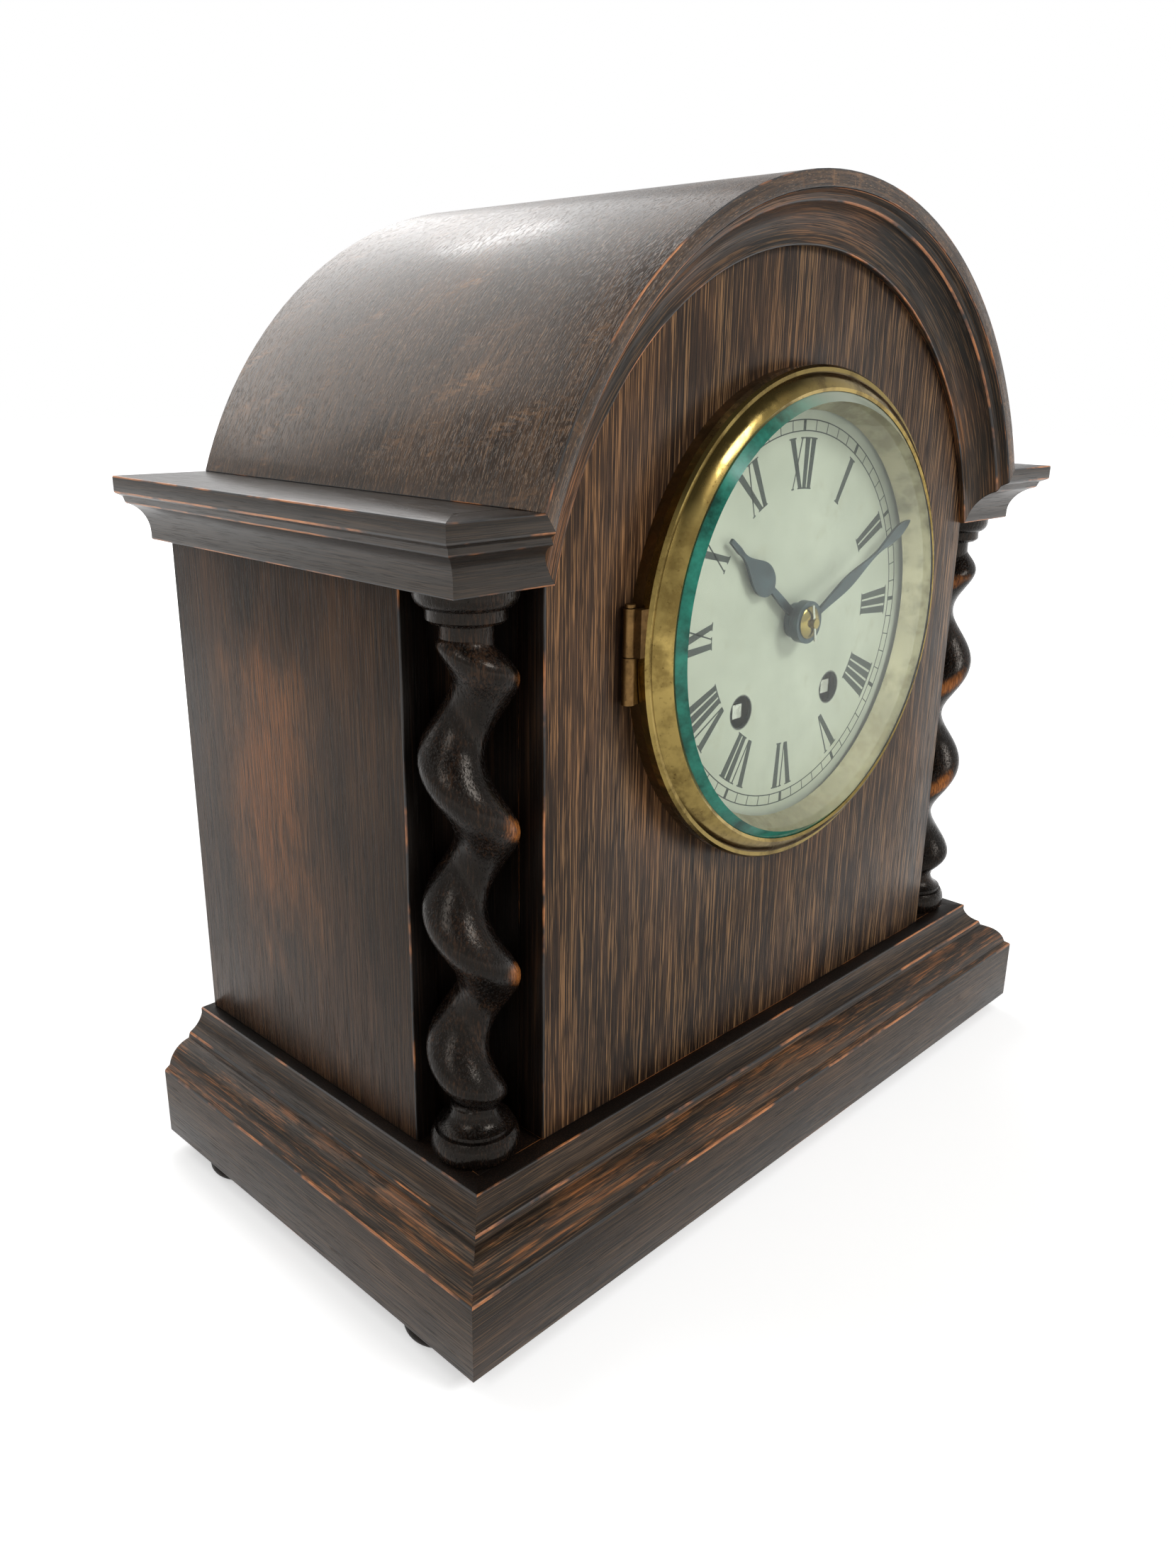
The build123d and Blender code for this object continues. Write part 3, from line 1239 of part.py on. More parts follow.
def mainspring(at):
    """Flat spring wound in the drum."""
    middle = (BARREL_INNER_REAR + BARREL_INNER_FRONT) / 2
    width = BARREL_INNER_FRONT - BARREL_INNER_REAR - 2 * SPRING_GAP
    plane = turned_plane(middle, 0, at)
    inner_r = ARBOR_CORE_R + SPRING_GAP + SPRING_T / 2
    path = half_turn_spiral(plane, inner_r, SPRING_PITCH, SPRING_HALF_TURNS)
    with BuildSketch(Plane(origin=path @ 0, x_dir=(1, 0, 0), z_dir=path % 0)) as shape:
        Rectangle(SPRING_T, width)
    sweep(shape.sketch, path=path)


def winding_arbor(at):
    """Arbor with its core in the drum, its ratchet on the front plate and its winding square."""
    bar(at, ARBOR_R, BACK_PLATE_REAR, FRONT_PLATE_FRONT + SIDE_CLEAR)
    bar(at, ARBOR_CORE_R, BARREL_INNER_REAR + SPRING_GAP, BARREL_INNER_FRONT - SPRING_GAP)
    saw_disc(at, RATCHET_TEETH, RATCHET_R, RATCHET_TOOTH, RATCHET_LEAN_SHARE, FRONT_PLATE_FRONT + SIDE_CLEAR,
             RATCHET_T)
    with BuildSketch(dial_plane(FRONT_PLATE_FRONT)) as shape:
        with Locations(at):
            Rectangle(WINDING_SQUARE, WINDING_SQUARE)
    extrude(shape.sketch, amount=WINDING_END - FRONT_PLATE_FRONT)


def click(at, barrel_at):
    """Sprung pawl on its stud, resting just above the ratchet's teeth."""
    rear = FRONT_PLATE_FRONT + SIDE_CLEAR
    reach = barrel_at[0] - at[0]
    with BuildSketch(dial_plane(rear)) as shape:
        with Locations((at[0] + reach / 2, at[1])):
            SlotCenterToCenter(abs(reach), CLICK_W)
        with Locations(barrel_at):
            Circle(RATCHET_R + SIDE_CLEAR, mode=Mode.SUBTRACT)
    extrude(shape.sketch, amount=RATCHET_T)
    bar(at, CLICK_STUD_R, FRONT_PLATE_REAR, rear)


with BuildPart() as going_barrel:
    barrel(GOING_BARREL_AT)
finish(going_barrel, "going_barrel")

with BuildPart() as strike_barrel:
    barrel(STRIKE_BARREL_AT)
finish(strike_barrel, "strike_barrel")

with BuildPart() as going_mainspring:
    mainspring(GOING_BARREL_AT)
finish(going_mainspring, "going_mainspring")

with BuildPart() as strike_mainspring:
    mainspring(STRIKE_BARREL_AT)
finish(strike_mainspring, "strike_mainspring")

with BuildPart() as going_winding_arbor:
    winding_arbor(GOING_BARREL_AT)
finish(going_winding_arbor, "going_winding_arbor")

with BuildPart() as strike_winding_arbor:
    winding_arbor(STRIKE_BARREL_AT)
finish(strike_winding_arbor, "strike_winding_arbor")

with BuildPart() as going_click:
    click(CLICKS[0], GOING_BARREL_AT)
finish(going_click, "going_click")

with BuildPart() as strike_click:
    click(CLICKS[1], STRIKE_BARREL_AT)
finish(strike_click, "strike_click")

# Going train

with BuildPart() as intermediate_wheel:
    wheel(SECOND_AT, SECOND_TEETH, SECOND_MODULE, SECOND_PHASE, SECOND_LAYER)
    pinion(SECOND_AT, BARREL_MODULE, SECOND_PINION_PHASE, BARREL_TEETH_REAR, BARREL_TEETH_T)
    arbor(SECOND_AT, TRAIN_ARBOR_R)
finish(intermediate_wheel, "intermediate_wheel")

with BuildPart() as centre_wheel:
    wheel(CENTRE_AT, CENTRE_TEETH, CENTRE_MODULE, CENTRE_PHASE, CENTRE_LAYER)
    pinion(CENTRE_AT, SECOND_MODULE, CENTRE_PINION_PHASE, SECOND_LAYER)
    bar(CENTRE_AT, PIVOT_R, BACK_PLATE_REAR, BACK_PLATE_FRONT + SIDE_CLEAR)
    bar(CENTRE_AT, CENTRE_ARBOR_R, BACK_PLATE_FRONT + SIDE_CLEAR, CENTRE_END)
    with BuildSketch(HAND_PIN_PLANE):
        Circle(HAND_PIN_R + GLUE_GAP)
    extrude(amount=HAND_PIN_L / 2, both=True, mode=Mode.SUBTRACT)
finish(centre_wheel, "centre_wheel")

with BuildPart() as third_wheel:
    wheel(THIRD_AT, THIRD_TEETH, THIRD_MODULE, THIRD_PHASE, THIRD_LAYER)
    pinion(THIRD_AT, CENTRE_MODULE, THIRD_PINION_PHASE, CENTRE_LAYER)
    arbor(THIRD_AT, FINE_ARBOR_R)
finish(third_wheel, "third_wheel")

ESCAPE_LEAN_SHARE = 0.75

with BuildPart() as escape_wheel:
    saw_disc(ESCAPE_AT, ESCAPE_TEETH, ESCAPE_R, ESCAPE_TOOTH, ESCAPE_LEAN_SHARE, ESCAPE_LAYER, WHEEL_T)
    cross_out(ESCAPE_AT, ESCAPE_R - ESCAPE_TOOTH - RIM_T, ESCAPE_LAYER, WHEEL_T)
    pinion(ESCAPE_AT, THIRD_MODULE, ESCAPE_PINION_PHASE, THIRD_LAYER)
    arbor(ESCAPE_AT, FINE_ARBOR_R)
finish(escape_wheel, "escape_wheel")

# Anchor with its crutch, back cock and pendulum, all on one axis

ANCHOR_LIFT_SHARES = (0.43, 0.73, 1.2)
ANCHOR_CROWN_SHARE = 0.32
CRUTCH_PIN_X = PENDULUM_ROD_W / 2 + SIDE_CLEAR + CRUTCH_PIN_R
PENDULUM_REAR = PENDULUM_DEPTH - PENDULUM_ROD_T / 2
COCK_REAR = COCK_FRONT - COCK_T
ANCHOR_PIVOT_REAR = COCK_FRONT - COCK_T / 2

with BuildPart() as anchor:
    low, shoulder, crown = [ESCAPE_AT[1] + share * ANCHOR_RISE for share in ANCHOR_LIFT_SHARES]
    crown_x = ANCHOR_CROWN_SHARE * ANCHOR_HALF_W
    with BuildSketch(dial_plane(ESCAPE_LAYER + WHEEL_T / 2 - ANCHOR_T / 2)):
        with BuildLine():
            Polyline(
                (ANCHOR_HALF_W, low),
                (ANCHOR_HALF_W, shoulder),
                (crown_x, crown),
                (-crown_x, crown),
                (-ANCHOR_HALF_W, shoulder),
                (-ANCHOR_HALF_W, low),
                close=True,
            )
        make_face()
        with Locations(ESCAPE_AT):
            Circle(ESCAPE_R + ANCHOR_CLEAR, mode=Mode.SUBTRACT)
    extrude(amount=ANCHOR_T)
    bar(ANCHOR_AT, ANCHOR_ARBOR_R, COCK_FRONT + SIDE_CLEAR, FRONT_PLATE_REAR - SIDE_CLEAR)
    bar(ANCHOR_AT, PIVOT_R, ANCHOR_PIVOT_REAR + SIDE_CLEAR, FRONT_PLATE_FRONT)
    with BuildSketch(dial_plane(CRUTCH_DEPTH)):
        with Locations((0, ANCHOR_AT[1] - CRUTCH_L / 2)):
            Rectangle(CRUTCH_W, CRUTCH_L)
        with Locations(ANCHOR_AT):
            Circle(CRUTCH_W)
        with Locations((0, ANCHOR_AT[1] - CRUTCH_L)):
            Rectangle(2 * (CRUTCH_PIN_X + CRUTCH_PIN_R), CRUTCH_W)
    extrude(amount=CRUTCH_T)
    for crutch_pin_x in (-CRUTCH_PIN_X, CRUTCH_PIN_X):
        bar((crutch_pin_x, ANCHOR_AT[1] - CRUTCH_L), CRUTCH_PIN_R, PENDULUM_REAR, CRUTCH_DEPTH)
finish(anchor, "anchor")

COCK_POST_SHARE = 0.3

with BuildPart() as back_cock:
    with BuildSketch(dial_plane(COCK_REAR)):
        with Locations((0, ANCHOR_AT[1] - COCK_DROP)):
            Rectangle(COCK_W, COCK_H, align=(Align.CENTER, Align.MIN))
    extrude(amount=COCK_T)
    for post_x in (-COCK_POST_SHARE * COCK_W, COCK_POST_SHARE * COCK_W):
        bar((post_x, PLATE_TOP - COCK_POST_R), COCK_POST_R, COCK_FRONT, BACK_PLATE_REAR)
    bar(ANCHOR_AT, PIVOT_R + RUN_CLEAR, ANCHOR_PIVOT_REAR, COCK_FRONT, mode=Mode.SUBTRACT)
    bar(ANCHOR_AT, COCK_STUD_R, COCK_REAR - COCK_STUD_L, COCK_REAR)
finish(back_cock, "back_cock")

BOB_AT = (0, ANCHOR_AT[1] - PENDULUM_L)
NUT_TOP = BOB_AT[1] - BOB_R - SIDE_CLEAR

with BuildPart() as pendulum_rod:
    with BuildSketch(dial_plane(PENDULUM_REAR)):
        with Locations(ANCHOR_AT):
            Circle(PENDULUM_EYE_R)
            Rectangle(PENDULUM_ROD_W, PENDULUM_L + PENDULUM_TAIL, align=(Align.CENTER, Align.MAX))
            Circle(COCK_STUD_R + RUN_CLEAR, mode=Mode.SUBTRACT)
    extrude(amount=PENDULUM_ROD_T)
    upright_bar(0, PENDULUM_DEPTH, RATING_NUT_R, DIAL_Z + NUT_TOP - RATING_NUT_H, DIAL_Z + NUT_TOP)
finish(pendulum_rod, "pendulum_rod")

with BuildPart() as pendulum_bob:
    with BuildSketch(turning_plane(BOB_AT)):
        bob_front, bob_rear = PENDULUM_DEPTH + BOB_T / 2, PENDULUM_DEPTH - BOB_T / 2
        edge_front, edge_rear = PENDULUM_DEPTH + BOB_EDGE_T / 2, PENDULUM_DEPTH - BOB_EDGE_T / 2
        bob_rise = (BOB_T - BOB_EDGE_T) / 2
        bob_dome_r = (BOB_R**2 + bob_rise**2) / (2 * bob_rise)
        with BuildLine():
            RadiusArc((0, bob_front), (BOB_R, edge_front), bob_dome_r)
            Line((BOB_R, edge_front), (BOB_R, edge_rear))
            RadiusArc((BOB_R, edge_rear), (0, bob_rear), bob_dome_r)
            Line((0, bob_rear), (0, bob_front))
        make_face()
    revolve(axis=arbor_axis(BOB_AT))
    with BuildSketch(Plane.XY.offset(DIAL_Z + BOB_AT[1] - BOB_R - SIDE_CLEAR)):
        with Locations((0, -PENDULUM_DEPTH)):
            Rectangle(PENDULUM_ROD_W + 2 * SIDE_CLEAR, PENDULUM_ROD_T + 2 * SIDE_CLEAR)
    extrude(amount=2 * (BOB_R + SIDE_CLEAR), mode=Mode.SUBTRACT)
finish(pendulum_bob, "pendulum_bob")

# Motion work behind the dial

CANNON_REAR = FRONT_PLATE_FRONT + SIDE_CLEAR
CANNON_END = MINUTE_HAND_DEPTH + HAND_T
HOUR_PIPE_END = HOUR_HAND_DEPTH + HAND_T
MINUTE_PINION_FRONT = HOUR_LAYER + WHEEL_T + PINION_OVERLAP

with BuildPart() as cannon_pinion:
    toothed_disc(CENTRE_AT, CANNON_TEETH, CANNON_MODULE, 0.0, MOTION_LAYER - PINION_OVERLAP,
                 WHEEL_T + 2 * PINION_OVERLAP)
    bar(CENTRE_AT, CANNON_PIPE_R, CANNON_REAR, CANNON_END)
    bar(CENTRE_AT, CENTRE_ARBOR_R + RUN_CLEAR, CANNON_REAR, CANNON_END, mode=Mode.SUBTRACT)
finish(cannon_pinion, "cannon_pinion")

with BuildPart() as minute_wheel:
    wheel(MINUTE_AT, MINUTE_TEETH, CANNON_MODULE, MINUTE_PHASE, MOTION_LAYER)
    toothed_disc(MINUTE_AT, MINUTE_PINION_TEETH, HOUR_MODULE, 0.0, MOTION_LAYER + WHEEL_T,
                 MINUTE_PINION_FRONT - MOTION_LAYER - WHEEL_T)
    bar(MINUTE_AT, TRAIN_ARBOR_R, FRONT_PLATE_FRONT + SIDE_CLEAR, MINUTE_PINION_FRONT)
    bar(MINUTE_AT, PIVOT_R, FRONT_PLATE_REAR, FRONT_PLATE_FRONT + SIDE_CLEAR)
finish(minute_wheel, "minute_wheel")

with BuildPart() as hour_wheel:
    wheel(CENTRE_AT, HOUR_TEETH, HOUR_MODULE, HOUR_PHASE, HOUR_LAYER)
    bar(CENTRE_AT, HOUR_PIPE_R, HOUR_LAYER, HOUR_PIPE_END)
    bar(CENTRE_AT, CANNON_PIPE_R + RUN_CLEAR, HOUR_LAYER, HOUR_PIPE_END, mode=Mode.SUBTRACT)
finish(hour_wheel, "hour_wheel")

# Striking train

COUNT_STROKES = [stroke for hour in range(1, 13) for stroke in (hour, 1)]
COUNT_TOTAL = sum(COUNT_STROKES)

with BuildPart() as strike_second_wheel:
    wheel(STRIKE_SECOND_AT, SECOND_TEETH, SECOND_MODULE, 0.0, SECOND_LAYER)
    pinion(STRIKE_SECOND_AT, BARREL_MODULE, STRIKE_PINION_PHASE, BARREL_TEETH_REAR, BARREL_TEETH_T)
    bar(STRIKE_SECOND_AT, TRAIN_ARBOR_R, COUNT_LAYER, FRONT_PLATE_REAR - SIDE_CLEAR)
    bar(STRIKE_SECOND_AT, PIVOT_R, FRONT_PLATE_REAR - SIDE_CLEAR, FRONT_PLATE_FRONT)
    bar(STRIKE_SECOND_AT, COUNT_WHEEL_R, COUNT_LAYER, COUNT_LAYER + COUNT_WHEEL_T)
    counted = 0
    for strokes in COUNT_STROKES:
        counted += strokes
        with BuildSketch(turned_plane(COUNT_LAYER, 360 * counted / COUNT_TOTAL, STRIKE_SECOND_AT)):
            with Locations((COUNT_WHEEL_R, 0)):
                Rectangle(2 * COUNT_NOTCH, COUNT_NOTCH / 2)
        extrude(amount=COUNT_WHEEL_T, mode=Mode.SUBTRACT)
finish(strike_second_wheel, "strike_second_wheel")

with BuildPart() as strike_pin_wheel:
    wheel(PIN_WHEEL_AT, PIN_TEETH, PIN_MODULE, 0.0, PIN_LAYER)
    pinion(PIN_WHEEL_AT, SECOND_MODULE, PIN_PINION_PHASE, SECOND_LAYER)
    arbor(PIN_WHEEL_AT, TRAIN_ARBOR_R)
    for pin in range(STRIKE_PINS):
        pin_at = step_from(PIN_WHEEL_AT, STRIKE_PIN_CIRCLE, 360 * pin / STRIKE_PINS)
        bar(pin_at, STRIKE_PIN_R, PIN_LAYER - STRIKE_PIN_L, PIN_LAYER)
finish(strike_pin_wheel, "strike_pin_wheel")

with BuildPart() as warning_wheel:
    wheel(WARNING_AT, WARNING_TEETH, WARNING_MODULE, 0.0, WARNING_LAYER)
    pinion(WARNING_AT, PIN_MODULE, WARNING_PINION_PHASE, PIN_LAYER)
    arbor(WARNING_AT, FINE_ARBOR_R)
finish(warning_wheel, "warning_wheel")

with BuildPart() as fly:
    pinion(FLY_AT, WARNING_MODULE, FLY_PINION_PHASE, WARNING_LAYER)
    arbor(FLY_AT, FLY_ARBOR_R)
    with BuildSketch(dial_plane(FLY_REAR)):
        with Locations(FLY_AT):
            Rectangle(2 * FLY_HALF_W, FLY_T)
            Circle(HUB_R / 2)
    extrude(amount=FLY_L)
finish(fly, "fly")

# Hammer, coil gong and its stand

GONG_OUTER_R = GONG_INNER_R + (GONG_HALF_TURNS - 1) * GONG_PITCH / 2
GONG_LEFT_X = -GONG_OUTER_R + (GONG_PITCH / 2 if GONG_HALF_TURNS % 2 == 0 else 0) - GONG_WIRE_R
HEAD_RIGHT_X = GONG_LEFT_X - HAMMER_GAP
HEAD_AT = (HEAD_RIGHT_X - HAMMER_HEAD_L / 2, GONG_Z - DIAL_Z)
TAIL_ANGLE = degrees(atan2(PIN_WHEEL_AT[1] - HAMMER_AT[1], PIN_WHEEL_AT[0] - HAMMER_AT[0]))
ROD_ANGLE = degrees(atan2(HEAD_AT[1] - HAMMER_AT[1], HEAD_AT[0] - HAMMER_AT[0]))
ROD_L = hypot(HEAD_AT[0] - HAMMER_AT[0], HEAD_AT[1] - HAMMER_AT[1])

with BuildPart() as hammer:
    bar(HAMMER_AT, HAMMER_ARBOR_R, GONG_DEPTH - HAMMER_ROD_R, FRONT_PLATE_REAR - SIDE_CLEAR)
    bar(HAMMER_AT, PIVOT_R, FRONT_PLATE_REAR - SIDE_CLEAR, FRONT_PLATE_FRONT)
    with BuildSketch(turned_plane(PIN_LAYER - STRIKE_PIN_L, TAIL_ANGLE, HAMMER_AT)):
        Rectangle(HAMMER_TAIL_L, HAMMER_TAIL_W, align=(Align.MIN, Align.CENTER))
    extrude(amount=STRIKE_PIN_L - SIDE_CLEAR)
    rod_plane = Plane(
        origin=(HAMMER_AT[0], -GONG_DEPTH, DIAL_Z + HAMMER_AT[1]),
        x_dir=(0, -1, 0),
        z_dir=(cos(radians(ROD_ANGLE)), 0, sin(radians(ROD_ANGLE))),
    )
    with BuildSketch(rod_plane):
        Circle(HAMMER_ROD_R)
    extrude(amount=ROD_L)
    with BuildSketch(Plane(origin=(HEAD_AT[0], -GONG_DEPTH, GONG_Z), x_dir=(0, 1, 0), z_dir=(1, 0, 0))):
        Circle(HAMMER_HEAD_R)
    extrude(amount=HAMMER_HEAD_L / 2, both=True)
finish(hammer, "hammer")

GONG_PLANE = Plane(origin=(0, -GONG_DEPTH, GONG_Z), x_dir=(1, 0, 0), z_dir=(0, -1, 0))

with BuildPart() as gong:
    gong_path = half_turn_spiral(GONG_PLANE, GONG_INNER_R, GONG_PITCH, GONG_HALF_TURNS)
    with BuildSketch(Plane(origin=gong_path @ 0, z_dir=gong_path % 0)):
        Circle(GONG_WIRE_R)
    sweep(path=gong_path)
finish(gong, "gong")
print(f"gong: least gap between turns {least_gap(gong_path, GONG_HALF_TURNS) - 2 * GONG_WIRE_R:.2f}")

with BuildPart() as gong_stand:
    with BuildSketch(Plane.XY.offset(DECK_Z)):
        with Locations((GONG_INNER_R, -GONG_STAND_DEPTH)):
            RectangleRounded(GONG_FOOT_W, GONG_FOOT_D, GONG_FOOT_H / 2)
    extrude(amount=GONG_FOOT_H)
    with BuildSketch(Plane.XY.offset(DECK_Z + GONG_FOOT_H)):
        with Locations((GONG_INNER_R, -GONG_STAND_DEPTH)):
            Rectangle(GONG_POST_W, GONG_POST_D)
    extrude(amount=GONG_Z - DECK_Z - GONG_FOOT_H)
    with BuildSketch(front_plane(GONG_STAND_DEPTH, GONG_Z)):
        with Locations((GONG_INNER_R, 0)):
            Rectangle(GONG_BOSS_W, GONG_BOSS_H, align=(Align.CENTER, Align.MAX))
    extrude(amount=GONG_DEPTH + GONG_WIRE_R - GONG_STAND_DEPTH)
finish(gong_stand, "gong_stand")
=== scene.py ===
import json
from math import asin, cos, pi, radians, sin

import bmesh
import bpy
from mathutils import Matrix, Vector


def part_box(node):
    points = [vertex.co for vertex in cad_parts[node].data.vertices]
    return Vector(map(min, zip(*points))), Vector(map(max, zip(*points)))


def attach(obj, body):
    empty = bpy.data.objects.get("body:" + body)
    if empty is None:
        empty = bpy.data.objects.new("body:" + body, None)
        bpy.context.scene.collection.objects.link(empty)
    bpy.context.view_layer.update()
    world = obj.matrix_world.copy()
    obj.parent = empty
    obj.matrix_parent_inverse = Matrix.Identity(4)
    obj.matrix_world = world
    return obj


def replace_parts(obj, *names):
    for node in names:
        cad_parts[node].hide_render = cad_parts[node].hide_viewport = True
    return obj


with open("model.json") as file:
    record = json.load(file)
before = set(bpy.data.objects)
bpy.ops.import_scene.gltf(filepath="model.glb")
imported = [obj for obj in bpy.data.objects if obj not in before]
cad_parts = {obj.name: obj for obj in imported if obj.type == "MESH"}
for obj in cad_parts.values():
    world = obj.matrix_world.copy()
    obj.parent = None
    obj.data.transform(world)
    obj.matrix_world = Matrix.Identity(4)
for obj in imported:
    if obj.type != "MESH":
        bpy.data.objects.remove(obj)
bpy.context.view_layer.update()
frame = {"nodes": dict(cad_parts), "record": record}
nodes = frame["nodes"]

# Lengths are metres, in the frame of the model: X right, the dial faces -Y, Z up.
# Finishes work in millimetres, and a size that only they use is written so.
MM = 0.001

# Camera, as the photograph was taken
PHOTO_H = 2212
FOCAL_PX = 1717.05
SENSOR = 36.0
CAMERA_AT = Vector((-0.31219, -0.27165, 0.25566))
CAMERA_YAW = radians(-46.367)
CAMERA_PITCH = radians(-18.635)
CAMERA_ROLL = radians(0.893)
CAMERA_CLIP = 0.01


# Places that the finishes follow

def middle_of(node_name, axis):
    low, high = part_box(node_name)
    return (low[axis] + high[axis]) / 2


DIAL_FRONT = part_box("dial_plate")[0].y
DIAL_Z = middle_of("dial_plate", 2)
HOOD_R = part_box("hood")[1].z - DIAL_Z
HOLE_X = 23.5 * MM
HOLE_Z = DIAL_Z - 25.3 * MM
WINDING_HOLES = ((HOLE_X, HOLE_Z), (-HOLE_X, HOLE_Z))
# Dark rings round the winding holes, as radii from each hole's middle
HOLE_DARK_R = 5.1
HOLE_DARK_END_R = 5.7
ARCH_MITRE = ((103.43 * MM, 206.5 * MM), (116.85 * MM, 225.6 * MM))
COLUMN_X = middle_of("twist_column_right", 0)
COLUMN_Y = middle_of("twist_column_right", 1)
DECK_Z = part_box("twist_column_right")[0].z
CORNICE_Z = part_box("twist_column_right")[1].z
BEZEL_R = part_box("bezel_ring")[1].z - DIAL_Z + 0.1 * MM
TWIST_LOW = 18.0
TWIST_HIGH = 15.0
TWIST_FADE = 6.0
RUB_X = -0.69
RUB_Y = -0.72
# Place and size of the painted glow of warm light on the side panels
PAINTED_GLOW_Y = middle_of("side_panel_left", 1) + 12 * MM
PAINTED_GLOW_Z = middle_of("side_panel_left", 2) + 8 * MM
PAINTED_GLOW_W = 30.0
PAINTED_GLOW_H = 62.0
PLINTH_OVOLO = (30.0, 38.0)
BAND_FADE = 1.5

# Dial marks, as radii from the hands' axis
NUMERAL_INNER_R = 39.5 * MM
NUMERAL_OUTER_R = 54.0 * MM
TRACK_INNER_R = 56.0 * MM
TRACK_OUTER_R = 59.2 * MM
TRACK_LINE = 0.34 * MM
MINUTE_LINE = 0.32 * MM
HOUR_BLOCK = 1.3 * MM
BAR_W = 2.05 * MM
HAIR_W = 0.5 * MM
BAR_PITCH = 2.75 * MM
VEE_W = 6.0 * MM
CROSS_W = 6.4 * MM
SERIF_REACH = 1.5 * MM
SERIF_W = 0.42 * MM
INK_T = 0.05 * MM
INK_SINK = 0.02 * MM
RING_SIDES = 240
SERIF_STEPS = 6


def linear(red, green, blue):
    """Colour given in screen values from 0 to 255, as the linear values that shaders take."""

    def channel(value):
        value /= 255
        return value / 12.92 if value <= 0.04045 else ((value + 0.055) / 1.055) ** 2.4

    return (channel(red), channel(green), channel(blue), 1.0)


class Finish:
    """One material and its nodes, with short calls for the nodes that the finishes share."""

    def __init__(self, name):
        self.material = bpy.data.materials.new(name)
        self.material.use_nodes = True
        self.tree = self.material.node_tree
        self.tree.nodes.clear()
        self.output = self.tree.nodes.new("ShaderNodeOutputMaterial")

    def node(self, kind, *inputs, **settings):
        made = self.tree.nodes.new(kind)
        for name, value in settings.items():
            setattr(made, name, value)
        for socket, value in zip(made.inputs, inputs):
            self.put(socket, value)
        return made

    def put(self, socket, value):
        if isinstance(value, bpy.types.NodeSocket):
            self.tree.links.new(value, socket)
        elif value is not None:
            socket.default_value = value

    def math(self, operation, *inputs):
        return self.node("ShaderNodeMath", *inputs, operation=operation).outputs[0]

    def add(self, first, second):
        return self.math("ADD", first, second)

    def times(self, first, second):
        return self.math("MULTIPLY", first, second)

    def less(self, first, second):
        return self.math("SUBTRACT", first, second)

    def place(self):
        """Position on the model in millimetres."""
        coords = self.node("ShaderNodeTexCoord").outputs["Object"]
        return self.scaled(coords, (1 / MM, 1 / MM, 1 / MM))

    def scaled(self, vector, scale):
        return self.node("ShaderNodeVectorMath", vector, scale, operation="MULTIPLY").outputs[0]

    def parts(self, vector):
        return self.node("ShaderNodeSeparateXYZ", vector).outputs

    def joined(self, x, y, z):
        return self.node("ShaderNodeCombineXYZ", x, y, z).outputs[0]

    def length(self, x, y, z=0.0):
        return self.node("ShaderNodeVectorMath", self.joined(x, y, z), operation="LENGTH").outputs["Value"]

    def noise(self, vector, scale, detail=2.0, roughness=0.5):
        made = self.node("ShaderNodeTexNoise")
        self.put(made.inputs["Vector"], self.scaled(vector, scale))
        made.inputs["Scale"].default_value = 1.0
        made.inputs["Detail"].default_value = detail
        made.inputs["Roughness"].default_value = roughness
        return made.outputs[0]

    def step(self, value, low, high):
        """Smooth rise from 0 at low to 1 at high; it falls where low is the larger."""
        made = self.node("ShaderNodeMapRange", value, low, high, 0.0, 1.0, interpolation_type="SMOOTHSTEP")
        return made.outputs[0]

    def spread(self, value, low, high):
        return self.node("ShaderNodeMapRange", value, 0.0, 1.0, low, high).outputs[0]

    def ramp(self, factor, stops):
        made = self.node("ShaderNodeValToRGB", factor)
        elements = made.color_ramp.elements
        while len(elements) < len(stops):
            elements.new(1.0)
        for element, (position, colour) in zip(elements, stops):
            element.position = position
            element.color = colour
        return made.outputs[0]

    def mix(self, factor, first, second):
        made = self.node("ShaderNodeMix", data_type="RGBA")
        self.put(made.inputs[0], factor)
        self.put(made.inputs[6], first)
        self.put(made.inputs[7], second)
        return made.outputs[2]

    def bump(self, height, distance, strength=1.0):
        made = self.node("ShaderNodeBump")
        made.inputs["Strength"].default_value = strength
        made.inputs["Distance"].default_value = distance
        self.put(made.inputs["Height"], height)
        return made.outputs[0]

    def surface(self, **sockets):
        shader = self.node("ShaderNodeBsdfPrincipled")
        for name, value in sockets.items():
            self.put(shader.inputs[name.replace("_", " ")], value)
        self.tree.links.new(shader.outputs[0], self.output.inputs[0])


# Oak, fumed nearly black and polished

SHELLAC = (1.0, 0.90, 0.80, 1.0)
PORE = linear(13, 10, 9)
TAN = linear(158, 121, 84)
AMBER = linear(172, 108, 62)
HONEY = linear(112, 76, 49)
FLECK = linear(136, 100, 68)
FUMED = ((0.28, linear(18, 13, 11)), (0.50, linear(42, 30, 23)), (0.72, linear(78, 57, 43)))
SMOKED = ((0.28, linear(9, 8, 8)), (0.50, linear(24, 20, 17)), (0.72, linear(52, 42, 34)))
WEATHERED = ((0.28, linear(15, 13, 11)), (0.50, linear(40, 33, 28)), (0.72, linear(80, 64, 51)))
BLACKENED = ((0.30, linear(6, 5, 4)), (0.55, linear(20, 14, 11)), (0.75, linear(54, 37, 25)))
HOOD_TONES = ((0.28, linear(26, 19, 15)), (0.50, linear(60, 45, 34)), (0.72, linear(104, 79, 58)))
PLAIN = ((0.30, linear(62, 42, 28)), (0.50, linear(98, 68, 45)), (0.72, linear(138, 100, 68)))


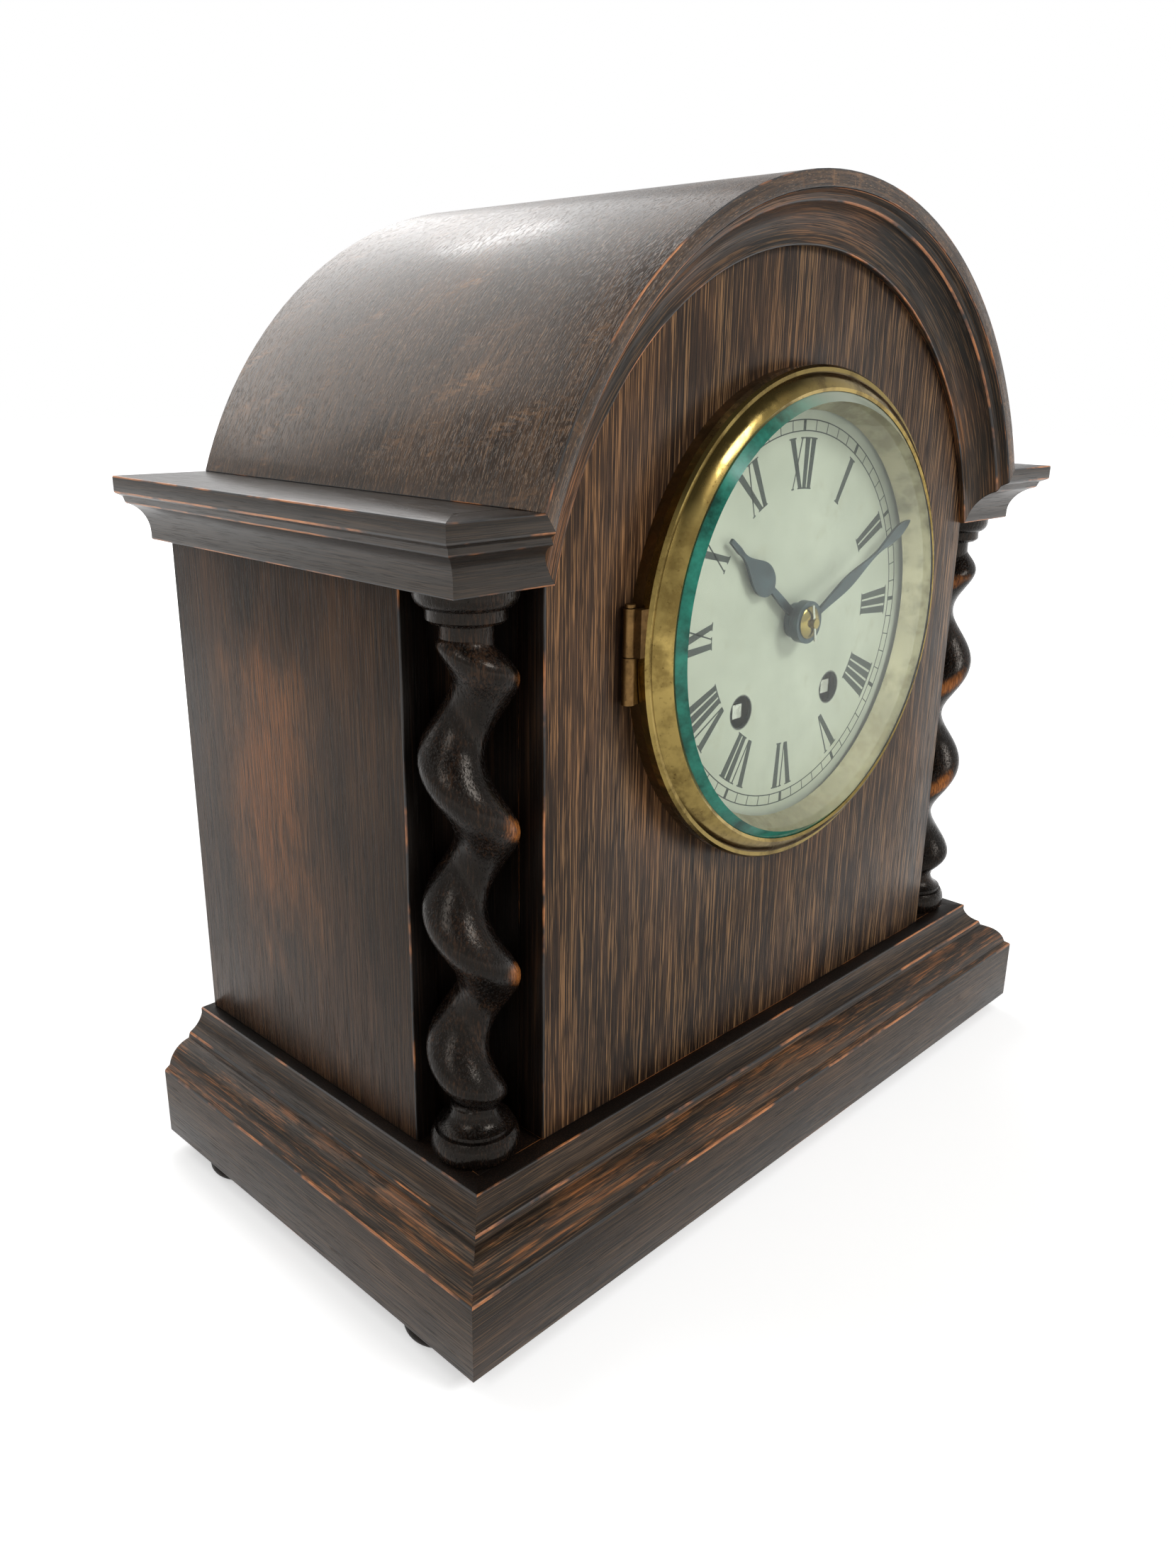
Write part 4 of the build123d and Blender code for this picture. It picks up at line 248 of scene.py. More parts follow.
def grain_vector(finish, grain):
    """Position as (across, through, along) the grain, in millimetres."""
    place = finish.place()
    x, y, z = finish.parts(place)
    if grain == "x":
        return finish.joined(y, z, x)
    if grain == "y":
        return finish.joined(x, z, y)
    if grain == "z":
        return place
    rise = finish.less(z, DIAL_Z / MM)
    along = finish.times(finish.math("ARCTAN2", rise, x), HOOD_R / MM)
    radius = finish.length(x, rise)
    if grain == "arc":
        return finish.joined(radius, y, along)
    return finish.joined(y, radius, along)


def oak(name, grain, stops=FUMED, shift=0.0, pale=0.3, amber=0.4, gloss=0.30, specular=0.12, wear_and_painted_glow=None):
    """Polished oak: fine long lines, pale dashes that turn amber in patches, and open pores.

    The last argument, if given, makes a mask from the finish and adds it to the amber patches: real rubbing
    on the plinth ovolo, a painted glow of warm light on the side panels.
    """
    finish = Finish(name)
    along = finish.node("ShaderNodeVectorMath", grain_vector(finish, grain), (shift, shift, shift)).outputs[0]
    lines = finish.noise(along, (2.3, 2.3, 0.020), 3.0, 0.65)
    dashes = finish.noise(along, (3.0, 3.0, 0.045), 2.0, 0.5)
    pores = finish.step(finish.noise(along, (3.4, 3.4, 0.09), 2.0, 0.5), 0.55, 0.65)
    cloud = finish.noise(along, (0.04, 0.04, 0.014), 3.0, 0.55)
    warm = finish.times(finish.step(finish.noise(along, (0.028, 0.028, 0.011), 2.0), 0.48, 0.66), amber)
    # Rubbing on the plinth ovolo, and the painted glow of warm light on the side panels, join the amber
    # patches
    if wear_and_painted_glow:
        warm = finish.math("MAXIMUM", warm, wear_and_painted_glow(finish))
    tone = finish.add(lines, finish.times(finish.less(cloud, 0.5), 0.55))
    colour = finish.ramp(tone, stops)
    colour = finish.mix(finish.times(warm, 0.5), colour, HONEY)
    lifted = finish.step(finish.add(dashes, finish.times(warm, 0.05)), 0.52, 0.64)
    amount = finish.math("MULTIPLY_ADD", warm, 0.35, pale)
    colour = finish.mix(finish.times(lifted, amount), colour, finish.mix(warm, TAN, AMBER))
    colour = finish.mix(finish.times(pores, 0.75), colour, PORE)
    height = finish.less(finish.times(lines, 0.5), pores)
    finish.surface(
        Base_Color=colour,
        Roughness=finish.math("MULTIPLY_ADD", pores, 0.15, finish.spread(cloud, gloss - 0.08, gloss + 0.08)),
        Specular_IOR_Level=specular,
        Specular_Tint=SHELLAC,
        Normal=finish.bump(height, 0.05 * MM, 0.5),
    )
    return finish.material


def side_painted_glow(finish):
    """Painted glow of warm light: an upright patch in the middle of a side panel."""
    place = finish.place()
    _, y, z = finish.parts(place)
    edge = finish.times(finish.less(finish.noise(place, (0.05, 0.09, 0.03), 3.0, 0.6), 0.5), 1.6)
    across = finish.times(finish.less(y, PAINTED_GLOW_Y / MM), 1 / PAINTED_GLOW_W)
    rise = finish.times(finish.less(z, PAINTED_GLOW_Z / MM), 1 / PAINTED_GLOW_H)
    return finish.step(finish.add(finish.length(across, rise), edge), 1.15, 0.25)


def rubbed_band(low, high):
    """Mask that is strong, in streaks, between two heights."""

    def mask(finish):
        place = finish.place()
        z = finish.parts(place)[2]
        band = finish.times(finish.step(z, low - BAND_FADE, low), finish.step(z, high + BAND_FADE, high))
        streaks = finish.noise(place, (0.045, 0.045, 0.8), 4.0, 0.65)
        return finish.times(band, finish.step(streaks, 0.45, 0.62))

    return mask


def hood_oak(name):
    """Grain that runs round the hood, with short pores and the faint flecks of quarter-sawn oak."""
    finish = Finish(name)
    along = grain_vector(finish, "hood")
    lines = finish.noise(along, (1.6, 1.6, 0.05), 3.0, 0.6)
    pores = finish.step(finish.noise(along, (2.6, 2.6, 0.40), 2.0, 0.5), 0.54, 0.66)
    specks = finish.step(finish.noise(along, (3.0, 3.0, 0.55), 2.0, 0.5), 0.57, 0.70)
    cloud = finish.noise(along, (0.022, 0.022, 0.018), 3.0, 0.6)
    across, _, run = finish.parts(along)
    slant_across = finish.math("MULTIPLY_ADD", run, 0.6, across)
    slant_along = finish.math("MULTIPLY_ADD", across, -0.6, run)
    figure = finish.noise(finish.joined(slant_across, 0.0, slant_along), (0.028, 0.028, 0.13), 3.0, 0.6)
    figure = finish.times(finish.step(figure, 0.50, 0.68), finish.step(cloud, 0.38, 0.60))
    ripple = finish.noise(along, (0.22, 0.22, 1.1), 2.0, 0.5)
    figure = finish.times(figure, finish.step(ripple, 0.42, 0.58))
    tone = finish.add(lines, finish.times(finish.less(cloud, 0.5), 0.6))
    colour = finish.ramp(tone, HOOD_TONES)
    colour = finish.mix(finish.times(figure, 0.8), colour, FLECK)
    colour = finish.mix(finish.times(specks, 0.40), colour, TAN)
    colour = finish.mix(finish.times(pores, 0.5), colour, PORE)
    height = finish.add(finish.less(finish.times(lines, 0.4), pores), specks)
    relief = finish.bump(height, 0.035 * MM, 0.8)
    finish.surface(
        Base_Color=colour,
        Roughness=finish.math("MULTIPLY_ADD", pores, 0.12, finish.spread(cloud, 0.20, 0.32)),
        Specular_IOR_Level=0.32,
        Specular_Tint=SHELLAC,
        Normal=relief,
        Coat_Weight=0.14,
        Coat_Roughness=0.13,
        Coat_Normal=relief,
    )
    return finish.material


def column_oak(name, side):
    """Ebonised oak; the outermost turns are rubbed to bare wood where they face the front and the middle."""
    finish = Finish(name)
    place = finish.place()
    x, y, z = finish.parts(place)
    out_x = finish.times(finish.less(x, side * COLUMN_X / MM), side)
    out_y = finish.less(y, COLUMN_Y / MM)
    reach = finish.length(out_x, out_y)
    inward = finish.math("DIVIDE", finish.add(finish.times(out_x, RUB_X), finish.times(out_y, RUB_Y)), reach)
    fine = finish.noise(place, (1.6, 1.6, 0.22), 3.0, 0.6)
    patch = finish.noise(place, (0.085, 0.085, 0.06), 3.0, 0.6)
    pores = finish.step(finish.noise(place, (1.8, 1.8, 0.34), 2.0), 0.54, 0.64)
    tone = finish.add(fine, finish.times(finish.less(patch, 0.5), 0.7))
    colour = finish.ramp(tone, BLACKENED)
    low, high = DECK_Z / MM + TWIST_LOW, CORNICE_Z / MM - TWIST_HIGH
    rubbed = finish.times(finish.step(z, low, low + TWIST_FADE), finish.step(z, high, high - TWIST_FADE))
    rubbed = finish.times(rubbed, finish.step(finish.add(reach, finish.times(patch, 3.4)), 13.7, 15.0))
    rubbed = finish.times(rubbed, finish.step(finish.add(inward, finish.times(fine, 0.2)), 0.78, 1.06))
    bare = finish.ramp(fine, ((0.3, linear(120, 66, 30)), (0.7, linear(206, 128, 62))))
    colour = finish.mix(finish.times(rubbed, 0.75), colour, bare)
    colour = finish.mix(finish.times(pores, 0.6), colour, PORE)
    relief = finish.bump(finish.less(fine, pores), 0.09 * MM, 0.9)
    finish.surface(
        Base_Color=colour,
        Roughness=finish.math("MULTIPLY_ADD", pores, 0.12, finish.spread(patch, 0.10, 0.26)),
        Specular_IOR_Level=0.16,
        Specular_Tint=SHELLAC,
        Normal=relief,
    )
    return finish.material


def worn_edge(name, grain):
    """Arris of a dark board, rubbed through to amber wood along part of its length."""
    finish = Finish(name)
    along = grain_vector(finish, grain)
    fine = finish.noise(along, (1.2, 1.2, 0.15), 3.0, 0.6)
    stretch = finish.noise(along, (0.03, 0.03, 0.03), 4.0, 0.6)
    bare = finish.ramp(fine, ((0.3, linear(110, 64, 34)), (0.7, linear(206, 132, 74))))
    rubbed = finish.step(stretch, 0.48, 0.58)
    finish.surface(
        Base_Color=finish.mix(rubbed, finish.ramp(fine, SMOKED), bare),
        Roughness=finish.spread(fine, 0.28, 0.48),
        Normal=finish.bump(fine, 0.04 * MM, 0.5),
    )
    return finish.material


# Metals, dial and glass

GLASS_IOR = 1.22


def turned_metal(name, colour, dark, rough, tarnish=0.35, lathe=True):
    """Metal with tarnish in patches and the fine lines of turning or polishing."""
    finish = Finish(name)
    place = finish.place()
    x, y, z = finish.parts(place)
    radius = finish.length(x, finish.less(z, DIAL_Z / MM))
    lines_at = finish.joined(radius, y, 0.0) if lathe else place
    lines = finish.noise(lines_at, (6.0, 6.0, 0.4), 2.0, 0.6)
    cloud = finish.noise(place, (0.10, 0.10, 0.10), 4.0, 0.65)
    specks = finish.step(finish.noise(place, (0.9, 0.9, 0.9), 3.0, 0.6), 0.60, 0.74)
    soiled = finish.times(finish.step(cloud, 0.40, 0.66), tarnish)
    soiled = finish.math("MULTIPLY_ADD", specks, tarnish * 0.6, soiled)
    finish.surface(
        Base_Color=finish.mix(soiled, colour, dark),
        Metallic=1.0,
        Roughness=finish.math("MULTIPLY_ADD", soiled, 0.30, finish.spread(lines, rough - 0.04, rough + 0.06)),
        Normal=finish.bump(lines, 0.010 * MM, 0.5),
    )
    return finish.material


def silvered(name):
    """Silvered dial plate, mottled with age, with dark rings round the winding holes."""
    finish = Finish(name)
    place = finish.place()
    x, _, z = finish.parts(place)
    cloud = finish.noise(place, (0.045, 0.045, 0.045), 4.0, 0.6)
    stain = finish.step(finish.noise(place, (0.11, 0.11, 0.11), 5.0, 0.65), 0.55, 0.74)
    grit = finish.noise(place, (2.6, 2.6, 2.6), 2.0)
    colour = finish.ramp(cloud, ((0.25, linear(188, 188, 174)), (0.75, linear(212, 211, 197))))
    colour = finish.mix(finish.times(stain, 0.30), colour, linear(174, 168, 143))
    for hole_x, hole_z in WINDING_HOLES:
        reach = finish.length(finish.less(x, hole_x / MM), finish.less(z, hole_z / MM))
        colour = finish.mix(finish.step(reach, HOLE_DARK_END_R, HOLE_DARK_R), colour, linear(38, 36, 32))
    finish.surface(
        Base_Color=colour,
        Metallic=0.15,
        Roughness=finish.spread(grit, 0.42, 0.54),
        Normal=finish.bump(grit, 0.01 * MM, 0.3),
    )
    return finish.material


def ink(name):
    """Black of the dial marks, a little worn."""
    finish = Finish(name)
    wear = finish.noise(finish.place(), (0.8, 0.8, 0.8), 4.0, 0.6)
    finish.surface(
        Base_Color=finish.ramp(wear, ((0.3, linear(28, 32, 30)), (0.75, linear(58, 64, 58)))),
        Roughness=finish.spread(wear, 0.45, 0.65),
    )
    return finish.material


def blued_steel(name):
    """Steel tempered blue-black, as hands and gong are."""
    finish = Finish(name)
    cloud = finish.noise(finish.place(), (0.25, 0.25, 0.25), 4.0, 0.6)
    finish.surface(
        Base_Color=finish.ramp(cloud, ((0.3, linear(34, 42, 48)), (0.75, linear(66, 80, 88)))),
        Metallic=0.7,
        Roughness=finish.spread(cloud, 0.28, 0.44),
    )
    return finish.material


def pane(name):
    """Clear glass; light on the dial comes straight through it."""
    finish = Finish(name)
    glass = finish.node("ShaderNodeBsdfGlass", linear(250, 253, 250))
    glass.inputs["Roughness"].default_value = 0.0
    glass.inputs["IOR"].default_value = GLASS_IOR
    clear = finish.node("ShaderNodeBsdfTransparent", linear(248, 252, 249))
    path = finish.node("ShaderNodeLightPath").outputs
    light_ray = finish.math("MAXIMUM", path["Is Shadow Ray"], path["Is Diffuse Ray"])
    mixed = finish.node("ShaderNodeMixShader", light_ray, glass.outputs[0], clear.outputs[0])
    finish.tree.links.new(mixed.outputs[0], finish.output.inputs[0])
    return finish.material


def glass_edge(name):
    """Ground bevel of the glass: the glass's own green, painted on the left side only where light runs inside
    the glass, and a painted pale reflection of the sight ring to the right.
    """
    finish = Finish(name)
    place = finish.place()
    x, _, z = finish.parts(place)
    cloud = finish.noise(place, (0.12, 0.12, 0.12), 4.0, 0.65)
    green = finish.ramp(cloud, ((0.3, linear(6, 62, 50)), (0.65, linear(40, 132, 112))))
    # Green on the left stands for light trapped in the glass; the pale colour on the right is a painted
    # reflection
    side = finish.add(x, finish.times(finish.less(z, DIAL_Z / MM), 0.35))
    finish.surface(
        Base_Color=finish.mix(finish.step(side, -18.0, 26.0), green, linear(150, 158, 142)),
        Roughness=0.16,
        Specular_IOR_Level=0.25,
    )
    return finish.material


BRASS = linear(140, 121, 70)
BRASS_DARK = linear(66, 50, 22)
BRONZE = linear(112, 86, 52)
BRONZE_DARK = linear(44, 30, 17)
GILT = linear(178, 168, 140)
GILT_DARK = linear(112, 100, 76)
STEEL = linear(176, 174, 166)
STEEL_DARK = linear(84, 74, 62)
IRON = linear(70, 66, 62)
IRON_DARK = linear(34, 26, 22)

# The side panels carry a painted glow of warm light in their middle, added to their amber patches
oak_side = oak("oak_side", "z", pale=0.12, amber=0.15, gloss=0.26, specular=0.18, wear_and_painted_glow=side_painted_glow)
oak_front = oak("oak_front", "z", shift=37.0, pale=0.66, amber=0.22, gloss=0.36, specular=0.18)
ovolo = rubbed_band(*PLINTH_OVOLO)
oak_x = oak("oak_across", "x", WEATHERED, shift=11.0, pale=0.18, amber=0.1, specular=0.2, wear_and_painted_glow=ovolo)
oak_y = oak("oak_fore_and_aft", "y", WEATHERED, shift=23.0, pale=0.14, amber=0.1, specular=0.2, wear_and_painted_glow=ovolo)
oak_cornice_x = oak("oak_cornice_front", "x", SMOKED, shift=61.0, pale=0.05, amber=0.0, specular=0.3)
oak_cornice_y = oak("oak_cornice_side", "y", SMOKED, shift=73.0, pale=0.05, amber=0.0, specular=0.3)
oak_arc = oak("oak_arch", "arc", SMOKED, shift=5.0, pale=0.26, amber=0.8, specular=0.18)
oak_hood = hood_oak("oak_hood")
oak_black = oak("oak_posts", "z", BLACKENED, pale=0.0, amber=0.0, gloss=0.42)
oak_back = oak("oak_back", "z", PLAIN, shift=51.0, pale=0.25, amber=0.2, gloss=0.48, specular=0.3)
edges = {grain: worn_edge("worn_" + grain, grain) for grain in ("x", "y", "z", "arc", "hood")}
column_left = column_oak("column_left", -1)
column_right = column_oak("column_right", 1)
brass_polished = turned_metal("brass_polished", BRASS, BRASS_DARK, 0.11, 0.6)
brass_dark = turned_metal("brass_dark", BRONZE, BRONZE_DARK, 0.34, 0.6)
brass_plate = turned_metal("brass_plate", BRASS, BRASS_DARK, 0.28, 0.4, lathe=False)
gilt = turned_metal("gilt_sight", GILT, GILT_DARK, 0.38, 0.5)
steel_bright = turned_metal("steel_bright", STEEL, STEEL_DARK, 0.22, 0.35, lathe=False)
steel_blued = blued_steel("steel_blued")
iron = turned_metal("iron", IRON, IRON_DARK, 0.42, 0.6, lathe=False)
dial_silver = silvered("dial_silver")
dial_ink = ink("dial_ink")
glass_clear = pane("glass_clear")
glass_bevel = glass_edge("glass_bevel")

SLOT_FINISH = {
    "oak": oak_side,
    "dark_oak": oak_black,
    "back_oak": oak_back,
    "polished_brass": brass_polished,
    "dark_brass": brass_dark,
    "plate_brass": brass_plate,
    "silvered_dial": dial_silver,
    "clear_glass": glass_clear,
    "blued_steel": steel_blued,
    "bright_steel": steel_bright,
    "iron": iron,
}
NODE_FINISH = {
    "front_panel": oak_front,
    "plinth_front_rail": oak_x,
    "plinth_back_rail": oak_x,
    "base_board": oak_black,
    "cornice_returns": oak_cornice_x,
    "plinth_side_rails": oak_y,
    "cornice_side_runs": oak_cornice_y,
    "arch_moulding": oak_arc,
    "hood": oak_hood,
    "sight_ring": gilt,
    "bezel_hinge_pin": brass_dark,
    "twist_column_left": column_left,
    "twist_column_right": column_right,
}

slots = {part["node"]: part["material_slot"] for part in frame["record"]["subparts"]}

# Sizes that the copies of CAD pieces use
SHARP = radians(32)
ARRIS = radians(28)
FLUSH = radians(0.5)
WELD = 0.002 * MM
EDGE_W = 0.45 * MM
WORN_TO_Y = 72 * MM
MITRE_FIT = 0.2 * MM
FLAT = 0.9
DIAGONAL = 0.6
UPRIGHT = 0.05
BEVEL_SLOPE = (-0.95, -0.3)


def body_of(node_name):
    return next(body for body, held in frame["record"]["behaviour"]["bodies"].items() if node_name in held)


def paint(target, *materials):
    if target.data.materials:
        target.data.materials.clear()
    for material in materials:
        target.data.materials.append(material)


def shade(mesh):
    """Smooth shading that keeps the sharp edges sharp."""
    for name in ("custom_normal", "sharp_face"):
        if name in mesh.attributes:
            mesh.attributes.remove(mesh.attributes[name])
    mesh.shade_smooth()
    mesh.set_sharp_from_angle(angle=SHARP)


def new_piece(name, shape, materials, body):
    mesh = bpy.data.meshes.new(name)
    shape.to_mesh(mesh)
    shape.free()
    piece = bpy.data.objects.new(name, mesh)
    bpy.context.scene.collection.objects.link(piece)
    paint(piece, *materials)
    shade(mesh)
    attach(piece, body)
    return piece


def solid_copy(node_name):
    """Mesh of a node with its flat faces made whole."""
    shape = bmesh.new()
    shape.from_mesh(nodes[node_name].data)
    bmesh.ops.remove_doubles(shape, verts=shape.verts, dist=WELD)
    bmesh.ops.dissolve_limit(shape, angle_limit=FLUSH, verts=shape.verts, edges=shape.edges)
    shape.normal_update()
    for face in shape.faces:
        face.material_index = 0
    return shape


def lies_in_mitre(face):
    """Whether a face is a hidden joint: a corner mitre, or a slanted one between the cornice and the arch."""
    turned = [abs(part) for part in face.normal]
    if min(turned[0], turned[1]) > DIAGONAL and turned[2] < UPRIGHT:
        return True
    (low_x, low_z), (high_x, high_z) = ARCH_MITRE
    slope = (high_x - low_x) / (high_z - low_z)
    offsets = [abs(vert.co.x) - low_x - (vert.co.z - low_z) * slope for vert in face.verts]
    return all(abs(offset) < MITRE_FIT for offset in offsets)


def dressed(node_name, finish, edge_finish, blackened):
    """Copy of a wooden piece with its outer edges rubbed round; blackened picks its faces in the dark bay."""
    shape = solid_copy(node_name)
    if blackened:
        for face in shape.faces:
            if blackened(face):
                face.material_index = 2
    arrises = [
        edge for edge in shape.edges
        if edge.is_manifold and edge.is_convex and edge.calc_face_angle(0) > ARRIS
        and not any(lies_in_mitre(face) for face in edge.link_faces)
        and (edge.verts[0].co.y + edge.verts[1].co.y) / 2 < WORN_TO_Y
    ]
    bmesh.ops.bevel(
        shape, geom=arrises, offset=EDGE_W, offset_type="OFFSET", segments=2, profile=0.5,
        affect="EDGES", clamp_overlap=True, material=1,
    )
    piece = new_piece(node_name + ".dressed", shape, (finish, edge_finish, oak_black), body_of(node_name))
    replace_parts(piece, node_name)


# Finish of every piece, then rubbed edges on the woodwork

for name, thing in nodes.items():
    paint(thing, NODE_FINISH.get(name) or SLOT_FINISH[slots[name]])


def faces_front(face):
    return face.normal.y < -FLAT


def faces_sideways(face):
    return abs(face.normal.x) > FLAT


def faces_up_at_deck(face):
    return face.normal.z > FLAT and face.calc_center_median().z > DECK_Z - MM


for name, grain, blackened in (
    ("plinth_front_rail", "x", faces_up_at_deck),
    ("plinth_side_rails", "y", faces_up_at_deck),
    ("side_panel_left", "z", faces_front),
    ("side_panel_right", "z", faces_front),
    ("front_panel", "z", faces_sideways),
    ("cornice_side_runs", "y", None),
    ("cornice_returns", "x", None),
    ("arch_moulding", "arc", None),
    ("hood", "hood", None),
):
    dressed(name, nodes[name].data.materials[0], edges[grain], blackened)

bezel = solid_copy("bezel_ring")
for face in bezel.faces:
    middle = face.calc_center_median()
    if Vector((middle.x, middle.z - DIAL_Z)).length > BEZEL_R:
        face.material_index = 1
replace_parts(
    new_piece("bezel_ring.dressed", bezel, (brass_polished, brass_dark), body_of("bezel_ring")), "bezel_ring"
)

glass = solid_copy("bezel_glass")
for face in glass.faces:
    if BEVEL_SLOPE[0] < face.normal.y < BEVEL_SLOPE[1]:
        face.material_index = 1
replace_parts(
    new_piece("bezel_glass.dressed", glass, (glass_clear, glass_bevel), body_of("bezel_glass")), "bezel_glass"
)


# Dial marks

def prism(shape, corners, base, top):
    """Thin raised shape from its corners as (x, z), given in order."""
    low = [shape.verts.new((x, base, z)) for x, z in corners]
    high = [shape.verts.new((x, top, z)) for x, z in corners]
    shape.faces.new(high)
    shape.faces.new(low[::-1])
    count = len(corners)
    for index in range(count):
        after = (index + 1) % count
        shape.faces.new((low[index], low[after], high[after], high[index]))


def around(radius, angle):
    """Place on the dial; the angle runs clockwise from twelve."""
    return (radius * sin(angle), DIAL_Z + radius * cos(angle))


def ring(shape, radius, width, base, top):
    inner, outer = radius - width / 2, radius + width / 2
    loops = []
    for reach, y in ((inner, base), (inner, top), (outer, top), (outer, base)):
        corners = [around(reach, 2 * pi * index / RING_SIDES) for index in range(RING_SIDES)]
        loops.append([shape.verts.new((x, y, z)) for x, z in corners])
    for first, second in zip(loops, loops[1:] + loops[:1]):
        for index in range(RING_SIDES):
            after = (index + 1) % RING_SIDES
            shape.faces.new((first[index], second[index], second[after], first[after]))


INK_BASE = DIAL_FRONT + INK_SINK
INK_TOP = DIAL_FRONT - INK_T
SERIF_TOP = DIAL_FRONT - INK_T * 0.8
NUMERAL_MID_R = (NUMERAL_INNER_R + NUMERAL_OUTER_R) / 2


def numeral_point(hour, across, rise):
    """Place in a numeral: across to the right of its middle, rise from 0 at its foot to 1 at its head."""
    radius = NUMERAL_INNER_R + rise * (NUMERAL_OUTER_R - NUMERAL_INNER_R)
    return around(radius, radians(30 * hour) + across / NUMERAL_MID_R)


def stroke(shape, hour, foot, head, width):
    prism(
        shape,
        [
            numeral_point(hour, foot - width / 2, 0),
            numeral_point(hour, foot + width / 2, 0),
            numeral_point(hour, head + width / 2, 1),
            numeral_point(hour, head - width / 2, 1),
        ],
        INK_BASE,
        INK_TOP,
    )


def serif(shape, hour, low, high, rise):
    edge = SERIF_W / (NUMERAL_OUTER_R - NUMERAL_INNER_R)
    spans = [low + (high - low) * index / SERIF_STEPS for index in range(SERIF_STEPS + 1)]
    inner = [numeral_point(hour, across, rise - edge / 2) for across in spans]
    outer = [numeral_point(hour, across, rise + edge / 2) for across in spans]
    prism(shape, inner + outer[::-1], INK_BASE, SERIF_TOP)


NUMERALS = ("XII", "I", "II", "III", "IIII", "V", "VI", "VII", "VIII", "IX", "X", "XI")
GLYPH_W = {"I": BAR_PITCH, "V": VEE_W, "X": CROSS_W}

numerals = bmesh.new()
for hour, letters in enumerate(NUMERALS):
    at = -sum(GLYPH_W[letter] for letter in letters) / 2
    run_start = None
    for index, letter in enumerate(letters):
        middle = at + GLYPH_W[letter] / 2
        lean = GLYPH_W[letter] / 2 - BAR_W / 2
        if letter == "I":
            stroke(numerals, hour, middle, middle, BAR_W)
            if index == 0 or letters[index - 1] != "I":
                run_start = middle
            if index == len(letters) - 1 or letters[index + 1] != "I":
                for rise in (0, 1):
                    serif(numerals, hour, run_start - SERIF_REACH, middle + SERIF_REACH, rise)
        if letter == "V":
            stroke(numerals, hour, middle + HAIR_W / 2, middle - lean, BAR_W)
            stroke(numerals, hour, middle + BAR_W / 2, middle + lean, HAIR_W)
            serif(numerals, hour, middle - lean - SERIF_REACH, middle - lean + SERIF_REACH, 1)
            serif(numerals, hour, middle + lean - SERIF_REACH / 2, middle + lean + SERIF_REACH / 2, 1)
        if letter == "X":
            stroke(numerals, hour, middle + lean, middle - lean, BAR_W)
            stroke(numerals, hour, middle - lean, middle + lean, HAIR_W)
            for rise, side in ((0, 1), (1, -1)):
                thick, thin = middle + side * lean, middle - side * lean
                serif(numerals, hour, thick - SERIF_REACH, thick + SERIF_REACH, rise)
                serif(numerals, hour, thin - SERIF_REACH / 2, thin + SERIF_REACH / 2, rise)
        at += GLYPH_W[letter]
bmesh.ops.recalc_face_normals(numerals, faces=numerals.faces)
new_piece("dial_numerals", numerals, (dial_ink,), "case")

track = bmesh.new()
for radius in (TRACK_INNER_R, TRACK_OUTER_R):
    ring(track, radius, TRACK_LINE, INK_BASE, INK_TOP)
for minute in range(60):
    angle = radians(6 * minute)
    half = (HOUR_BLOCK if minute % 5 == 0 else MINUTE_LINE) / 2
    corners = []
    for radius, side in ((TRACK_INNER_R, -1), (TRACK_INNER_R, 1), (TRACK_OUTER_R, 1), (TRACK_OUTER_R, -1)):
        corners.append(around(radius, angle + side * half / radius))
    prism(track, corners, INK_BASE, SERIF_TOP)
bmesh.ops.recalc_face_normals(track, faces=track.faces)
new_piece("minute_track", track, (dial_ink,), "case")

# Screws of the back hinges

HINGE_X = 75.25 * MM
LEAF_H = 24.0 * MM
SCREW_R = 1.5 * MM
SCREW_SINK = 0.10 * MM
SCREW_STEP = 0.15 * MM
SCREW_H = 0.40 * MM
SLOT_W = 0.40 * MM
SCREW_SIDES = 12
SCREW_FROM_AXIS = 8.0 * MM
SCREW_SPREAD = 7.0 * MM
SLOT_TURNS = (radians(20), radians(75), radians(130), radians(160))


def screw(shape, x, z, face_y, turn):
    """Slotted head on a leaf that faces the back: a low disc that carries two halves."""

    def rim(start, sweep, count):
        turns = [turn + start + sweep * index / count for index in range(count + 1)]
        return [(x + SCREW_R * cos(angle), z + SCREW_R * sin(angle)) for angle in turns]

    prism(shape, rim(0, 2 * pi, 2 * SCREW_SIDES)[:-1], face_y - SCREW_SINK, face_y + SCREW_STEP)
    edge = asin(SLOT_W / 2 / SCREW_R)
    for start in (edge, pi + edge):
        prism(shape, rim(start, pi - 2 * edge, SCREW_SIDES), face_y, face_y + SCREW_H)


for node_name, side in (("back_hinge_fixed", 1), ("back_hinge_moving", -1)):
    low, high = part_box(node_name)
    leaf = [vert.co for vert in nodes[node_name].data.vertices if abs(vert.co.x - HINGE_X) > SCREW_FROM_AXIS]
    leaf_y = max(corner.y for corner in leaf)
    heads = bmesh.new()
    leaf_middles = (low.z + LEAF_H / 2, high.z - LEAF_H / 2)
    heights = [middle + step for middle in leaf_middles for step in (-SCREW_SPREAD, SCREW_SPREAD)]
    for z, turn in zip(heights, SLOT_TURNS):
        screw(heads, HINGE_X + side * SCREW_FROM_AXIS, z, leaf_y, turn)
    bmesh.ops.recalc_face_normals(heads, faces=heads.faces)
    new_piece(node_name + "_screws", heads, (brass_plate,), body_of(node_name))

# Floor, light and camera

scene = bpy.context.scene
scene.view_settings.view_transform = "Standard"

FLOOR_WHITE = (0.86, 0.86, 0.86, 1)
FLOOR_NEAR = 260.0
FLOOR_FAR = 900.0
FLOOR_GLOW = 0.42
FLOOR_SIZE = 12
WHITE = (1, 1, 1, 1)


